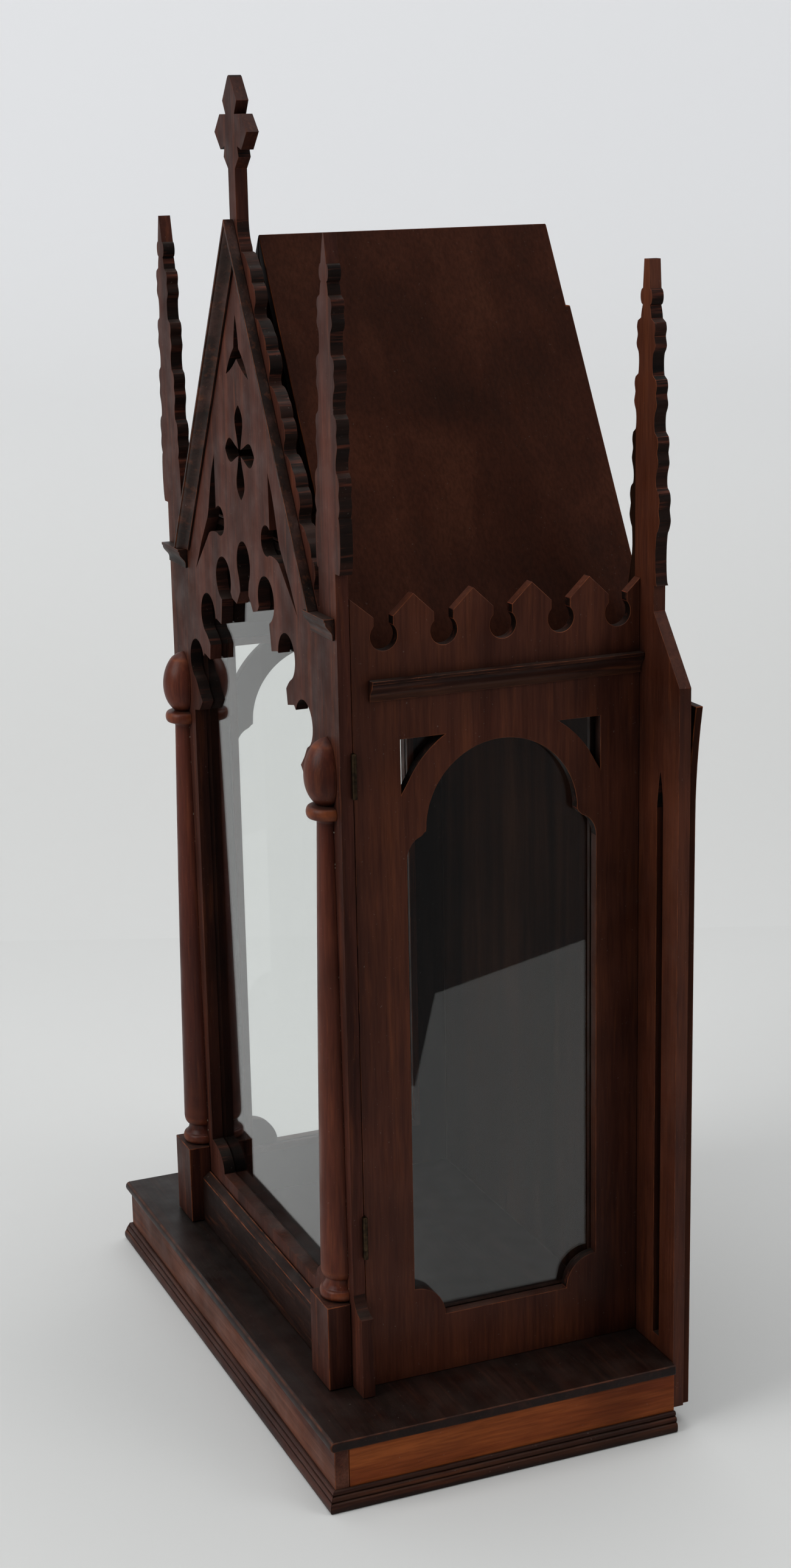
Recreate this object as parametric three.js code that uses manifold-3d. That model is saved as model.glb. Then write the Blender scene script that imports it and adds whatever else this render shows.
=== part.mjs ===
// A wooden house shrine: a glazed case on a moulded plinth, with a fret-cut Gothic front
// that is hinged on the right and opens as a door.
// Millimetres, +Z up. The front looks along -Y, the right side is +X, and the origin is
// the middle of the footprint at the underside of the plinth.

import * as THREE from 'three';
import { mergeVertices } from 'three/addons/utils/BufferGeometryUtils.js';
import Module from 'manifold-3d';

const wasm = await Module();
wasm.setup();

// Stock and clearances
const FRET_BOARD = 11; // thickness of the front and back fret-cut boards
const WALL = 10; // thickness of a side wall
const ROOF_BOARD = 10;
const GLASS = 2.4;
const GLUE_GAP = 0.3; // between two pieces that touch
const DOOR_GAP = 0.8; // around the door, so that it swings free

// Plinth
const PLINTH_MARGIN = 4; // beyond the wings of the back board
const PLINTH_DEPTH = 324; // front face to the face of the back board
const PLINTH_HEIGHT = 55; // underside of the top board
const PLINTH_BOARD = 13;
const TOP_BOARD = 9.5;
const TOP_LIP_FRONT = 5;
const TOP_LIP_SIDE = 4;
const TOP_NOSE = 4; // radius of the rounded front edge
const MOULDING_PROJECTION = 7;
const REED_HEIGHTS = [9, 5, 4.5]; // from the floor upwards
const REED_STEP = 2; // how far each reed stands back from the one below
const REED_BULGE = 1.6;

// Case
const FACADE_SETBACK = 49; // plinth front to facade front
const CASE_HALF_WIDTH = 217.5; // outer face of a side wall
const CORNICE_HEIGHT = 612; // underside of the cornice above the floor board
const CORNICE_START = 15; // back from the front edge of the wall
const CYMA_WIDTH = 18; // one moulding serves the cornice, the rakes and their returns
const CYMA_PROJECTION = 9;
const CYMA_FILLET = 2.5;
const CYMA_QUIRK = 1; // step back under the fillet
const CYMA_FOOT = 2; // projection of its lower edge

// Cresting along the top of a side wall
const CREST_PITCH = 53.2;
const CREST_COUNT = 5;
const CREST_PEAK = 698; // above the floor board
const CREST_SHOULDER = 681;
const CREST_HOLE_CENTRE = 665;
const CREST_HOLE_RADIUS = 12;
const CREST_NECK_HALF = 8.5;
const CREST_FIRST = 29.2; // first hole behind the front edge of the wall

// Side window
const WINDOW_CENTRE = 134; // behind the front edge of the wall
const WINDOW_HALF_WIDTH = 88;
const WINDOW_SILL = 54.5; // above the floor board
const WINDOW_SPRING = 498.5; // centre of the round head
const WINDOW_HEAD_RADIUS = 70;
const WINDOW_SHOULDER = 26; // height of the rounded shoulder below the head
const WINDOW_SHOULDER_DIP = 5; // its curve ends this much below the head's centre
const WINDOW_SHOULDER_SWEEP = 75; // degrees
const WINDOW_CORNER = 29; // quarter rounds that fill the bottom corners
const SPANDREL_TOP = 577.5;
const SPANDREL_RADIUS = 94;
const SPANDREL_REACH = 92; // vertical side, out from the centre of the window
const SPANDREL_FLATTENING = 2;
const SPANDREL_CORNER_TURN = 8; // degrees
const BEAD = 7; // glazing beads
const BEAD_DEPTH = 5;

// Facade, which is the door
const FACADE_PROUD = 0.5; // beyond the outer face of a side wall
const STILE = 58;
const SILL_HEIGHT = 65.5; // bottom of the door's opening above the floor board
const BRACKET_WIDTH = 34;
const BRACKET_HEIGHT = 24;
const EAR_OUT = 18;
const EAR_HEIGHT = 74;
const EAR_COVE = 16;
const JAMB_TOP = 529; // end of the straight jamb above the floor board

// Tracery of the opening's head: foils and tongues set out on arcs about one centre
const ARCH_OFFSET = 118; // centre of the arcs beyond the middle line
const ARCH_SPRING = 421.5; // centre of the arcs above the floor board
const FOIL_REACH = 25.8; // the foils' arc outside the line of the jamb
const FOIL_RADIUS = 20.5;
const FOIL_FIRST_ANGLE = 55;
const FOIL_STEP = 11.85;
const FOIL_START_ANGLE = -72; // where a foil's curve starts, above the tongue below it
const FOIL_END_TURN = 95; // where it ends, less twice the foil's own angle
const FOILS_PER_SIDE = 3;
const CROWN_FOIL_RISE = 22; // above the highest foil of a side
const CROWN_FOIL_HALF = 17.5;
const CROWN_FOIL_START_ANGLE = -40;
const CROWN_NECK_HALF = 11;
const CROWN_NECK_DROP = 26; // below the centre of the crown foil
const CROWN_TONGUE_HALF = 21.5;
const CROWN_TONGUE_DROP = 38.5;
const CROWN_TONGUE_FOOT = 12;
const TONGUE_INSET = 1.5; // the tongues' arc inside the line of the jamb
const TONGUE_FIRST_ANGLE = 48.1;
const TONGUE_STEP = 11.2;
const TONGUE_EDGE = 14; // upright edge of a tongue's square end
const TONGUE_LEAN = 2.5; // of that edge, towards the middle line
const TONGUE_FOOT = 15.5; // lower edge of a tongue's square end
const TONGUE_FOOT_RISE = 3;
const SPUR = 10; // the pointed end of the lowest tongue

// Gable
const GABLE_ANGLE = 60;
const GABLE_FOOT_INSET = 40.75; // outer line of a rake at its foot, in from the facade's edge
const RETURN_TOP = 682.5; // above the floor board
const RETURN_INNER_INSET = 54; // ends of a return, in from the facade's edge
const RETURN_OUTER_INSET = 4;
const RETURN_SEAT = 4; // ledge of the facade above a return
const CROCKET_FIRST = 28;
const CROCKET_LAST = 18; // end of the lowest crocket above the rake's foot
const CROCKET_COUNT = 5;
const CROCKET_HEIGHT = 12.5;
const CROCKET_NOSE = 5.5; // bulge of the lower lobe
const CROCKET_BACK = 2; // bulge of the upper lobe

// Piercings of the gable, placed below its apex
const PIERCING_SHIFT = -5; // they and the tracery were cut a little left of the middle line
const TRIDENT_DROP = 111.5;
const TRIDENT_ARM = 31;
const TRIDENT_HALF = 6.5;
const QUATREFOIL_DROP = 199;
const QUATREFOIL_ARM = 41.5; // upright arms
const QUATREFOIL_SIDE_ARM = 38;
const QUATREFOIL_LOBE = 10.5;
const QUATREFOIL_WAIST = 3;
const PETAL_STEPS = [0.25, 0.45, 0.6, 0.75, 0.88]; // shares of a petal's length
const PETAL_FULLNESS = 1.15; // how near its tip a petal is widest
const PETAL_ROUNDING = 0.8;
const MOUCHETTE_X = 62;
const MOUCHETTE_DROP = 267;
const MOUCHETTE_LOBE = 13.5;
const MOUCHETTE_RISE = 59; // upper arm above the lobe's centre
const MOUCHETTE_FALL = 54; // lower arm below it
const MOUCHETTE_SPREAD = 72; // lower tip outward from the lobe's centre

// Cross on the gable
const CROSS_RISE = 117; // its top above the gable's apex
const CROSS_ARM_RISE = 71;
const CROSS_ARM = 41;
const CROSS_ARM_HALF = 14.5; // half height of an arm's diamond
const CROSS_HEAD_HALF = 18; // half width of the upper diamond
const CROSS_NOTCH_HALF = 11;
const CROSS_COLLAR_HALF = 19;
const CROSS_STEM_HALF = 8.6;
const CROSS_COLLAR_DROP = 20.5; // widest part of the collar below the arms
const CROSS_STEM_DROP = 30; // top of the plain stem below the arms
const CROSS_HEAD_DROP = 20.5; // widest part of the upper diamond below the top
const CROSS_CHAMFER = 3;

// Pinnacles. Heights are above the floor board on the front ones, and the rear ones stand lower
const PINNACLE_INSET = 15; // its middle, in from the facade's edge
const PINNACLE_LEAN = 7; // outward at the tip
const PINNACLE_TOP = 985.5;
const PINNACLE_BASE = 719.5; // underside of the lowest lobe
const PINNACLE_PAIRS = 4; // pairs of lobes between the bud and the lowest lobe
const PINNACLE_PITCH = 47;
const PINNACLE_FIRST_PAIR = 924; // cusp of the highest pair
const PINNACLE_FIRST_HALF = 16.5;
const PINNACLE_WIDEN = 3.4; // growth of the half width from pair to pair
const PINNACLE_LOBE = 14; // height of one lobe of the highest pair
const PINNACLE_LOBE_GROWTH = 1.2;
const PINNACLE_BASE_HALF = 27; // half width of the lowest lobe
const PINNACLE_NECK = 8; // half width of the highest neck
const PINNACLE_NECK_WIDEN = 3.9;
const PINNACLE_CUSP = 2; // depth of the cusp between the lobes of a pair
const PINNACLE_TIP_HALF = 1;
const PINNACLE_ROUNDING = 1; // of a lobe's corners
const BUD_TOP = 962;
const BUD_BOTTOM = 948.5;
const BUD_HALF = 10;
const BUD_NECK = 6; // half width above and below the bud
const PINNACLE_FOOT_INSET = 37; // inner edge of its foot, in from the facade's edge

// Back board and its wings
const WING_REACH = 69.5; // out from the outer face of a side wall
const WING_SHOULDER = 610.5; // top of the wing's upright edge
const WING_TOP = 667.5; // foot of the rear pinnacle
const REAR_PINNACLE_OUT = 5.5; // its middle outside the outer face of a side wall
const REAR_PINNACLE_LEAN = 1.5;
const REAR_PINNACLE_DROP = 30; // below the front ones
const REAR_PINNACLE_WIDTH = 0.98; // share of a front one's width
const REAR_PINNACLE_BASE_HALF = 20;
const REAR_PINNACLE_TIP_HALF = 4;
const REAR_FOOT_OUT = 23.5; // edges of its foot, out and in from a side wall's outer face
const REAR_FOOT_IN = 20.5;
const REAR_FOOT_SPLAY = 5; // of the curve at its inner side
const LANCET_INSET = 32; // its middle, in from the wing's edge
const LANCET_HALF = 5.5;
const LANCET_BOTTOM = 12;
const LANCET_TOP = 533;
const BACK_PANEL = 7;
const BACK_PANEL_INSET = 3; // in from the wing's edge
const BACK_PANEL_TOP = 593;
const BACK_PANEL_SPRUNG = 97; // the part of its height that has sprung away
const BACK_PANEL_SPRING = 6;

// Roof
const ROOF_RIDGE_DROP = 13.5; // below the gable's apex
const ROOF_FRONT = 22; // behind the facade's front
const ROOF_OVERHANG = 12; // beyond the back board
const ROOF_STEP = 4; // the rear edge stands back above a step
const ROOF_STEP_HEIGHT = 906; // above the floor board

// Split-turned columns on square blocks
const COLUMN_INSET = 28; // its middle, in from the facade's edge
const BLOCK_HALF = 21.5;
const BLOCK_TOP = 79; // above the floor board
const EGG_TOP = 580;
const EGG_HEIGHT = 57;
const EGG_RADIUS = 20;
const EGG_SEAT = 0.06; // share of the egg that is cut off where it sits on the ring
const EGG_TAPER = 0.12; // how much slimmer it gets towards its tip
const EGG_TIP = 0.6;
const RING_HEIGHT = 12;
const RING_RADIUS = 19;
const SHAFT_TOP_RADIUS = 10.2;
const SHAFT_BOTTOM_RADIUS = 17.5;
const SHAFT_BOTTOM = 98.5;
const SHAFT_ROUNDING = 9;
const SHAFT_CORNER = 4;
const SHAFT_SWELL = 0.8; // at the middle of its height
const NECK_RADIUS = 13.5;
const TORUS_RADIUS = 19;
const TORUS_HEIGHT = 10;
const BEAD_BULGE = 3;
const TURNING_FILLET = 1.5;
const TURNING_SEGMENTS = 12; // facets round the half turning

// Rail between the blocks
const RAIL_PROJECTION = 9;
const RAIL_HEIGHT = 46;
const RAIL_CHAMFER = 6;
const RAIL_EDGE = 1.5; // flat left above the chamfer

// Butt hinges
const HINGE_LENGTH = 38;
const HINGE_UPPER = 532.5; // lower end above the floor board
const HINGE_LOWER = 123.5;
const KNUCKLE_RADIUS = 2.2;
const KNUCKLE_START_ANGLE = -70; // the leaf rolls round from here
const KNUCKLE_END_ANGLE = 160;
const LEAF_WIDTH = 8;
const LEAF_THICKNESS = 1;

const ARC_STEPS = 6; // facets of a small curve
const FINE_STEPS = 12; // facets of a large one
const PASS = 1; // how far a cut passes the face that it opens
const WELD = 1e-4; // points closer than this are one

// Places worked out from the sizes above, with the facade's front at y = 0
const FLOOR = PLINTH_HEIGHT + TOP_BOARD;
const FACADE_HALF_WIDTH = CASE_HALF_WIDTH + FACADE_PROUD;
const WING_HALF_WIDTH = CASE_HALF_WIDTH + WING_REACH;
const PLINTH_HALF_WIDTH = WING_HALF_WIDTH + PLINTH_MARGIN;
const PLINTH_FRONT = -FACADE_SETBACK;
const BACK_FACE = PLINTH_FRONT + PLINTH_DEPTH;
const DOOR_BACK = FRET_BOARD;
const WALL_FRONT = DOOR_BACK + DOOR_GAP;
const WALL_BACK = BACK_FACE - GLUE_GAP;
const WALL_INNER = CASE_HALF_WIDTH - WALL;
const PANEL_FACE = BACK_FACE + FRET_BOARD + GLUE_GAP;
const PANEL_BACK = PANEL_FACE + BACK_PANEL + BACK_PANEL_SPRING;
const MOULDING_HEIGHT = REED_HEIGHTS.reduce((sum, height) => sum + height, 0);
const FOOTPRINT_FRONT = PLINTH_FRONT - GLUE_GAP - MOULDING_PROJECTION;
const FOOTPRINT_MIDDLE = (FOOTPRINT_FRONT + PANEL_BACK) / 2;
const GABLE_SLOPE = Math.tan(THREE.MathUtils.degToRad(GABLE_ANGLE));
const GABLE_FOOT = FACADE_HALF_WIDTH - GABLE_FOOT_INSET;
const GABLE_APEX = RETURN_TOP + GABLE_SLOPE * GABLE_FOOT; // above the floor board
const CROSS_TOP = GABLE_APEX + CROSS_RISE;
const ROOF_RIDGE = GABLE_APEX - ROOF_RIDGE_DROP;
const RAKE_DOWN = new THREE.Vector2(
  Math.cos(THREE.MathUtils.degToRad(GABLE_ANGLE)), -Math.sin(THREE.MathUtils.degToRad(GABLE_ANGLE)));
const RAKE_OUT = new THREE.Vector2(-RAKE_DOWN.y, RAKE_DOWN.x);
const ROOF_DROP = ROOF_BOARD / Math.cos(THREE.MathUtils.degToRad(GABLE_ANGLE)); // upright thickness
const RAKE_LENGTH = GABLE_FOOT / RAKE_DOWN.x;
const CROCKET_PITCH = (RAKE_LENGTH - CROCKET_FIRST - CROCKET_LAST) / CROCKET_COUNT;
const JAMB = FACADE_HALF_WIDTH - STILE;
const FOIL_ARC = JAMB + ARCH_OFFSET + FOIL_REACH;
const TONGUE_ARC = JAMB + ARCH_OFFSET - TONGUE_INSET;
const CROWN_FOIL_HEIGHT = ARCH_SPRING + CROWN_FOIL_RISE
  + FOIL_ARC * Math.sin(THREE.MathUtils.degToRad(FOIL_FIRST_ANGLE));
const PINNACLE_X = FACADE_HALF_WIDTH - PINNACLE_INSET;
const PINNACLE_FOOT_INNER = FACADE_HALF_WIDTH - PINNACLE_FOOT_INSET;
const REAR_PINNACLE_X = CASE_HALF_WIDTH + REAR_PINNACLE_OUT;
const REAR_FOOT_OUTER = CASE_HALF_WIDTH + REAR_FOOT_OUT;
const REAR_FOOT_INNER = CASE_HALF_WIDTH - REAR_FOOT_IN;
const REAR_EAVE = REAR_FOOT_INNER - REAR_FOOT_SPLAY;
const LANCET_X = WING_HALF_WIDTH - LANCET_INSET;
const COLUMN_X = FACADE_HALF_WIDTH - COLUMN_INSET;
const HINGE_X = FACADE_HALF_WIDTH + KNUCKLE_RADIUS + GLUE_GAP;
const HINGE_Y = DOOR_BACK + DOOR_GAP / 2;

const WOOD_FACE = new THREE.MeshStandardMaterial({ color: '#4a2b22', roughness: 0.5 });
const WOOD_DARK = new THREE.MeshStandardMaterial({ color: '#2f1a14', roughness: 0.5 });
const WOOD_ORANGE = new THREE.MeshStandardMaterial({ color: '#6d3518', roughness: 0.55 });
const CLEAR_GLASS = new THREE.MeshStandardMaterial({
  color: '#dfe6e2', roughness: 0.05, transparent: true, opacity: 0.3 });
const BRASS = new THREE.MeshStandardMaterial({ color: '#7d6a3c', roughness: 0.45, metalness: 1 });

const shrine = new THREE.Group();
shrine.position.y = -FOOTPRINT_MIDDLE;

function add(name, geometry, material) {
  const mesh = new THREE.Mesh(geometry, material);
  mesh.name = name;
  shrine.add(mesh);
}

const point = (x, y) => new THREE.Vector2(x, y);
const mirrored = (points) => points.map((p) => point(-p.x, p.y)).reverse();

// Points along an arc, both ends included. Angles are in degrees.
function arc(cx, cy, rx, ry, from, to, steps = ARC_STEPS) {
  const points = [];
  for (let i = 0; i <= steps; i += 1) {
    const angle = THREE.MathUtils.degToRad(from + ((to - from) * i) / steps);
    points.push(point(cx + rx * Math.cos(angle), cy + ry * Math.sin(angle)));
  }
  return points;
}

// Points along a quadratic curve, both ends included.
function sweep(start, control, end, steps = ARC_STEPS) {
  return new THREE.QuadraticBezierCurve(start, control, end).getPoints(steps);
}

// A convex lobe between two points, bulging to the left of the way from start to end.
function lobe(start, end, bulge, steps = ARC_STEPS - 2) {
  const along = end.clone().sub(start);
  const across = point(-along.y, along.x).normalize();
  const points = [];
  for (let i = 0; i <= steps; i += 1) {
    const t = i / steps;
    const p = start.clone().addScaledVector(along, t);
    points.push(p.addScaledVector(across, bulge * Math.sqrt(Math.sin(Math.PI * t))));
  }
  return points;
}

function shapeOf(outline, holes = []) {
  const shape = new THREE.Shape(outline);
  shape.holes = holes.map((hole) => new THREE.Path(hole));
  return shape;
}

// A board in the XZ plane, from y = front backwards.
function frontBoard(outline, front, thickness, holes = []) {
  const geometry = new THREE.ExtrudeGeometry(shapeOf(outline, holes),
    { depth: thickness, bevelEnabled: false });
  geometry.rotateX(Math.PI / 2);
  geometry.translate(0, front + thickness, 0);
  return geometry;
}

// A bar or board whose YZ section runs along X, from x = start.
function sideBoard(outline, start, thickness, holes = []) {
  const geometry = new THREE.ExtrudeGeometry(shapeOf(outline, holes),
    { depth: thickness, bevelEnabled: false });
  geometry.rotateX(Math.PI / 2);
  geometry.rotateZ(Math.PI / 2);
  geometry.translate(start, 0, 0);
  return geometry;
}

function box(x0, x1, y0, y1, z0, z1) {
  const geometry = new THREE.BoxGeometry(x1 - x0, y1 - y0, z1 - z0);
  geometry.translate((x0 + x1) / 2, (y0 + y1) / 2, (z0 + z1) / 2);
  return geometry;
}

const rectangle = (x0, x1, y0, y1) => [point(x0, y0), point(x1, y0), point(x1, y1), point(x0, y1)];

// A closed body through rings of equal length, each a list of Vector3 in the same order.
function loft(rings) {
  const size = rings[0].length;
  const positions = rings.flat().flatMap((p) => [p.x, p.y, p.z]);
  const faces = [];
  for (let r = 0; r + 1 < rings.length; r += 1) {
    for (let i = 0; i < size; i += 1) {
      const a = r * size + i;
      const b = r * size + ((i + 1) % size);
      faces.push([a, b, b + size], [a, b + size, a + size]);
    }
  }
  const flat = projected(rings[0]);
  const caps = THREE.ShapeUtils.triangulateShape(flat, []);
  const last = (rings.length - 1) * size;
  for (const cap of caps) {
    const [a, b, c] = THREE.ShapeUtils.isClockWise(flat) ? [cap[0], cap[2], cap[1]] : cap;
    faces.push([a, c, b], [last + a, last + b, last + c]);
  }
  const geometry = new THREE.BufferGeometry();
  geometry.setAttribute('position', new THREE.Float32BufferAttribute(positions, 3));
  geometry.setIndex(faces.flat());
  return facingOut(geometry);
}

// The ring flattened on the plane that it lies in most nearly, keeping its order.
function projected(ring) {
  const spread = new THREE.Box3().setFromPoints(ring).getSize(new THREE.Vector3());
  if (spread.z <= Math.min(spread.x, spread.y)) return ring.map((p) => point(p.x, p.y));
  if (spread.y <= spread.x) return ring.map((p) => point(p.x, p.z));
  return ring.map((p) => point(p.y, p.z));
}

// Turns every face over when the body's volume comes out negative.
function facingOut(geometry) {
  const p = geometry.attributes.position;
  const index = geometry.index.array;
  const [a, b, c] = [new THREE.Vector3(), new THREE.Vector3(), new THREE.Vector3()];
  let volume = 0;
  for (let i = 0; i < index.length; i += 3) {
    a.fromBufferAttribute(p, index[i]);
    b.fromBufferAttribute(p, index[i + 1]);
    c.fromBufferAttribute(p, index[i + 2]);
    volume += a.dot(b.cross(c));
  }
  if (volume < 0) {
    for (let i = 0; i < index.length; i += 3) {
      [index[i + 1], index[i + 2]] = [index[i + 2], index[i + 1]];
    }
  }
  return geometry;
}

function toManifold(geometry) {
  const bare = geometry.clone();
  bare.deleteAttribute('normal');
  bare.deleteAttribute('uv');
  const merged = mergeVertices(bare, WELD);
  return new wasm.Manifold(new wasm.Mesh({
    numProp: 3,
    vertProperties: new Float32Array(merged.attributes.position.array),
    triVerts: new Uint32Array(merged.index.array),
  }));
}

function cut(geometry, tools) {
  let solid = toManifold(geometry);
  for (const tool of tools) solid = solid.subtract(toManifold(tool));
  const mesh = solid.getMesh();
  const result = new THREE.BufferGeometry();
  result.setAttribute('position', new THREE.Float32BufferAttribute(mesh.vertProperties, 3));
  result.setIndex(Array.from(mesh.triVerts));
  return result;
}

function mirrorX(geometry) {
  const copy = geometry.clone();
  copy.scale(-1, 1, 1);
  const flipped = copy.index ? copy : mergeVertices(copy);
  return facingOut(flipped);
}

// Adds a piece on the right and its mirror image on the left.
function addPair(name, geometry, material) {
  add(`${name}_right`, geometry, material);
  add(`${name}_left`, mirrorX(geometry), material);
}

// The small cyma moulding. x is the projection and y runs down from its top edge.
function cymaProfile() {
  const points = [point(0, 0), point(CYMA_PROJECTION, 0), point(CYMA_PROJECTION, -CYMA_FILLET)];
  const top = CYMA_PROJECTION - CYMA_QUIRK;
  const run = CYMA_WIDTH - 2 * CYMA_FILLET;
  for (let i = 0; i <= ARC_STEPS; i += 1) {
    const t = i / ARC_STEPS;
    const fall = t - Math.sin(2 * Math.PI * t) / (2 * Math.PI);
    points.push(point(top - (top - CYMA_FOOT) * fall, -CYMA_FILLET - run * t));
  }
  points.push(point(CYMA_FOOT, -CYMA_WIDTH), point(0, -CYMA_WIDTH));
  return points;
}

// The reeded plinth moulding. x is the projection and y is the height.
function reedProfile() {
  const points = [point(0, 0)];
  let height = 0;
  REED_HEIGHTS.forEach((reed, i) => {
    const proud = MOULDING_PROJECTION - REED_BULGE - i * REED_STEP;
    points.push(...arc(proud, height + reed / 2, REED_BULGE, reed / 2, -90, 90));
    height += reed;
  });
  points.push(point(0, height));
  return points;
}

// A moulding whose ends are cut at angles. place(p, end) gives a profile point's place at each end.
function mitredBar(profile, place) {
  return loft([profile.map((p) => place(p, 0)), profile.map((p) => place(p, 1))]);
}

function buildPlinth() {
  const sideFront = PLINTH_FRONT + PLINTH_BOARD + GLUE_GAP;
  const sideOuter = PLINTH_HALF_WIDTH;
  const boardTop = PLINTH_HEIGHT - GLUE_GAP;
  add('plinth_front', box(-sideOuter, sideOuter, PLINTH_FRONT, PLINTH_FRONT + PLINTH_BOARD,
    0, boardTop), WOOD_FACE);
  addPair('plinth_side', box(sideOuter - PLINTH_BOARD, sideOuter, sideFront, WALL_BACK,
    0, boardTop), WOOD_ORANGE);

  const lipFront = PLINTH_FRONT - TOP_LIP_FRONT;
  const middle = FLOOR - TOP_BOARD / 2;
  const section = [
    point(WALL_BACK, PLINTH_HEIGHT),
    point(WALL_BACK, FLOOR),
    ...arc(lipFront + TOP_NOSE, middle, TOP_NOSE, TOP_BOARD / 2, 90, 270),
  ];
  const topHalf = PLINTH_HALF_WIDTH + TOP_LIP_SIDE;
  add('plinth_top', sideBoard(section, -topHalf, 2 * topHalf), WOOD_DARK);

  const profile = reedProfile();
  const face = PLINTH_FRONT - GLUE_GAP;
  const side = PLINTH_HALF_WIDTH + GLUE_GAP;
  const seam = GLUE_GAP / 2;
  add('plinth_moulding_front', mitredBar(profile, (p, end) => {
    const reach = side + p.x - seam;
    return new THREE.Vector3(end ? reach : -reach, face - p.x, p.y);
  }), WOOD_DARK);
  addPair('plinth_moulding_side', mitredBar(profile, (p, end) => (
    new THREE.Vector3(side + p.x, end ? WALL_BACK : face - p.x + seam, p.y))), WOOD_DARK);
}

function windowOutline() {
  const middle = WALL_FRONT + WINDOW_CENTRE;
  const sill = FLOOR + WINDOW_SILL;
  const spring = FLOOR + WINDOW_SPRING;
  const shoulder = spring - WINDOW_SHOULDER;
  const step = WINDOW_HALF_WIDTH - WINDOW_HEAD_RADIUS;
  const half = [
    ...arc(WINDOW_HALF_WIDTH, sill, WINDOW_CORNER, WINDOW_CORNER, 180, 90),
    ...arc(WINDOW_HEAD_RADIUS, shoulder, step, WINDOW_SHOULDER - WINDOW_SHOULDER_DIP,
      0, WINDOW_SHOULDER_SWEEP),
    ...arc(0, spring, WINDOW_HEAD_RADIUS, WINDOW_HEAD_RADIUS, 0, 90, FINE_STEPS),
  ];
  const left = mirrored(half).slice(1);
  return [...half, ...left].map((p) => point(p.x + middle, p.y));
}

// A spandrel piercing: upright side, level top and a long side that follows the window's head.
function spandrelOutline(side) {
  const middle = WALL_FRONT + WINDOW_CENTRE;
  const spring = FLOOR + WINDOW_SPRING;
  const top = FLOOR + SPANDREL_TOP;
  const topAngle = THREE.MathUtils.radToDeg(Math.asin((top - spring) / SPANDREL_RADIUS));
  const meet = THREE.MathUtils.radToDeg(Math.acos(SPANDREL_REACH / SPANDREL_RADIUS));
  const curve = arc(0, spring, SPANDREL_RADIUS + SPANDREL_FLATTENING, SPANDREL_RADIUS,
    meet + SPANDREL_CORNER_TURN, topAngle);
  curve[0].x = SPANDREL_REACH;
  return [...curve, point(SPANDREL_REACH, top)].map((p) => point(middle + side * p.x, p.y));
}

// The top of a side wall: gabled teeth with keyhole slots between them.
function crestOutline() {
  const shoulder = FLOOR + CREST_SHOULDER;
  const peak = FLOOR + CREST_PEAK;
  const hole = FLOOR + CREST_HOLE_CENTRE;
  const toothHalf = CREST_PITCH / 2 - CREST_NECK_HALF;
  const slope = (peak - shoulder) / toothHalf;
  const lead = Math.min(CREST_FIRST - CREST_NECK_HALF, toothHalf);
  const open = THREE.MathUtils.radToDeg(Math.acos(CREST_NECK_HALF / CREST_HOLE_RADIUS));
  const points = [point(WALL_FRONT, shoulder + lead * slope)];
  for (let i = 0; i < CREST_COUNT; i += 1) {
    const centre = WALL_FRONT + CREST_FIRST + i * CREST_PITCH;
    points.push(point(centre - CREST_NECK_HALF, shoulder));
    points.push(...arc(centre, hole, CREST_HOLE_RADIUS, CREST_HOLE_RADIUS,
      180 - open, 360 + open, FINE_STEPS));
    points.push(point(centre + CREST_NECK_HALF, shoulder));
    if (i + 1 < CREST_COUNT) points.push(point(centre + CREST_PITCH / 2, peak));
  }
  const last = WALL_FRONT + CREST_FIRST + (CREST_COUNT - 1) * CREST_PITCH + CREST_NECK_HALF;
  points.push(point(WALL_BACK, shoulder + (WALL_BACK - last) * slope));
  return points;
}

function buildSides() {
  const bottomEdge = FLOOR + GLUE_GAP;
  const outline = [point(WALL_BACK, bottomEdge), point(WALL_FRONT, bottomEdge), ...crestOutline()];
  const piercings = [windowOutline(), spandrelOutline(-1), spandrelOutline(1)]
    .map((hole) => sideBoard(hole, WALL_INNER - PASS, WALL + 2 * PASS));
  const plain = cut(sideBoard(outline, WALL_INNER, WALL), piercings);
  const mortises = [HINGE_UPPER, HINGE_LOWER].map((height) => box(
    CASE_HALF_WIDTH - LEAF_WIDTH - GLUE_GAP, CASE_HALF_WIDTH + PASS,
    WALL_FRONT - PASS, WALL_FRONT + LEAF_THICKNESS + GLUE_GAP,
    FLOOR + height - GLUE_GAP, FLOOR + height + HINGE_LENGTH + GLUE_GAP));
  add('side_wall_right', cut(plain, mortises), WOOD_FACE);
  add('side_wall_left', mirrorX(plain), WOOD_FACE);

  const profile = cymaProfile();
  const top = FLOOR + CORNICE_HEIGHT + CYMA_WIDTH;
  const face = CASE_HALF_WIDTH + GLUE_GAP;
  addPair('cornice', mitredBar(profile, (p, end) => new THREE.Vector3(
    face + p.x, end ? WALL_BACK : WALL_FRONT + CORNICE_START, top + p.y)), WOOD_DARK);

  const middle = WALL_FRONT + WINDOW_CENTRE;
  const half = WINDOW_HALF_WIDTH + BEAD;
  const bottom = FLOOR + WINDOW_SILL - BEAD;
  const headTop = FLOOR + SPANDREL_TOP + BEAD;
  const paneOuter = WALL_INNER - GLUE_GAP;
  addPair('side_glass', box(paneOuter - GLASS, paneOuter, middle - half, middle + half,
    bottom, headTop), CLEAR_GLASS);
  const beadOuter = paneOuter - GLASS - GLUE_GAP;
  addPair('side_glass_bead', sideBoard(
    rectangle(middle - half, middle + half, bottom, headTop), beadOuter - BEAD_DEPTH, BEAD_DEPTH,
    [rectangle(middle - half + BEAD, middle + half - BEAD, bottom + BEAD, headTop - BEAD)]), WOOD_DARK);
}

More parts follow.
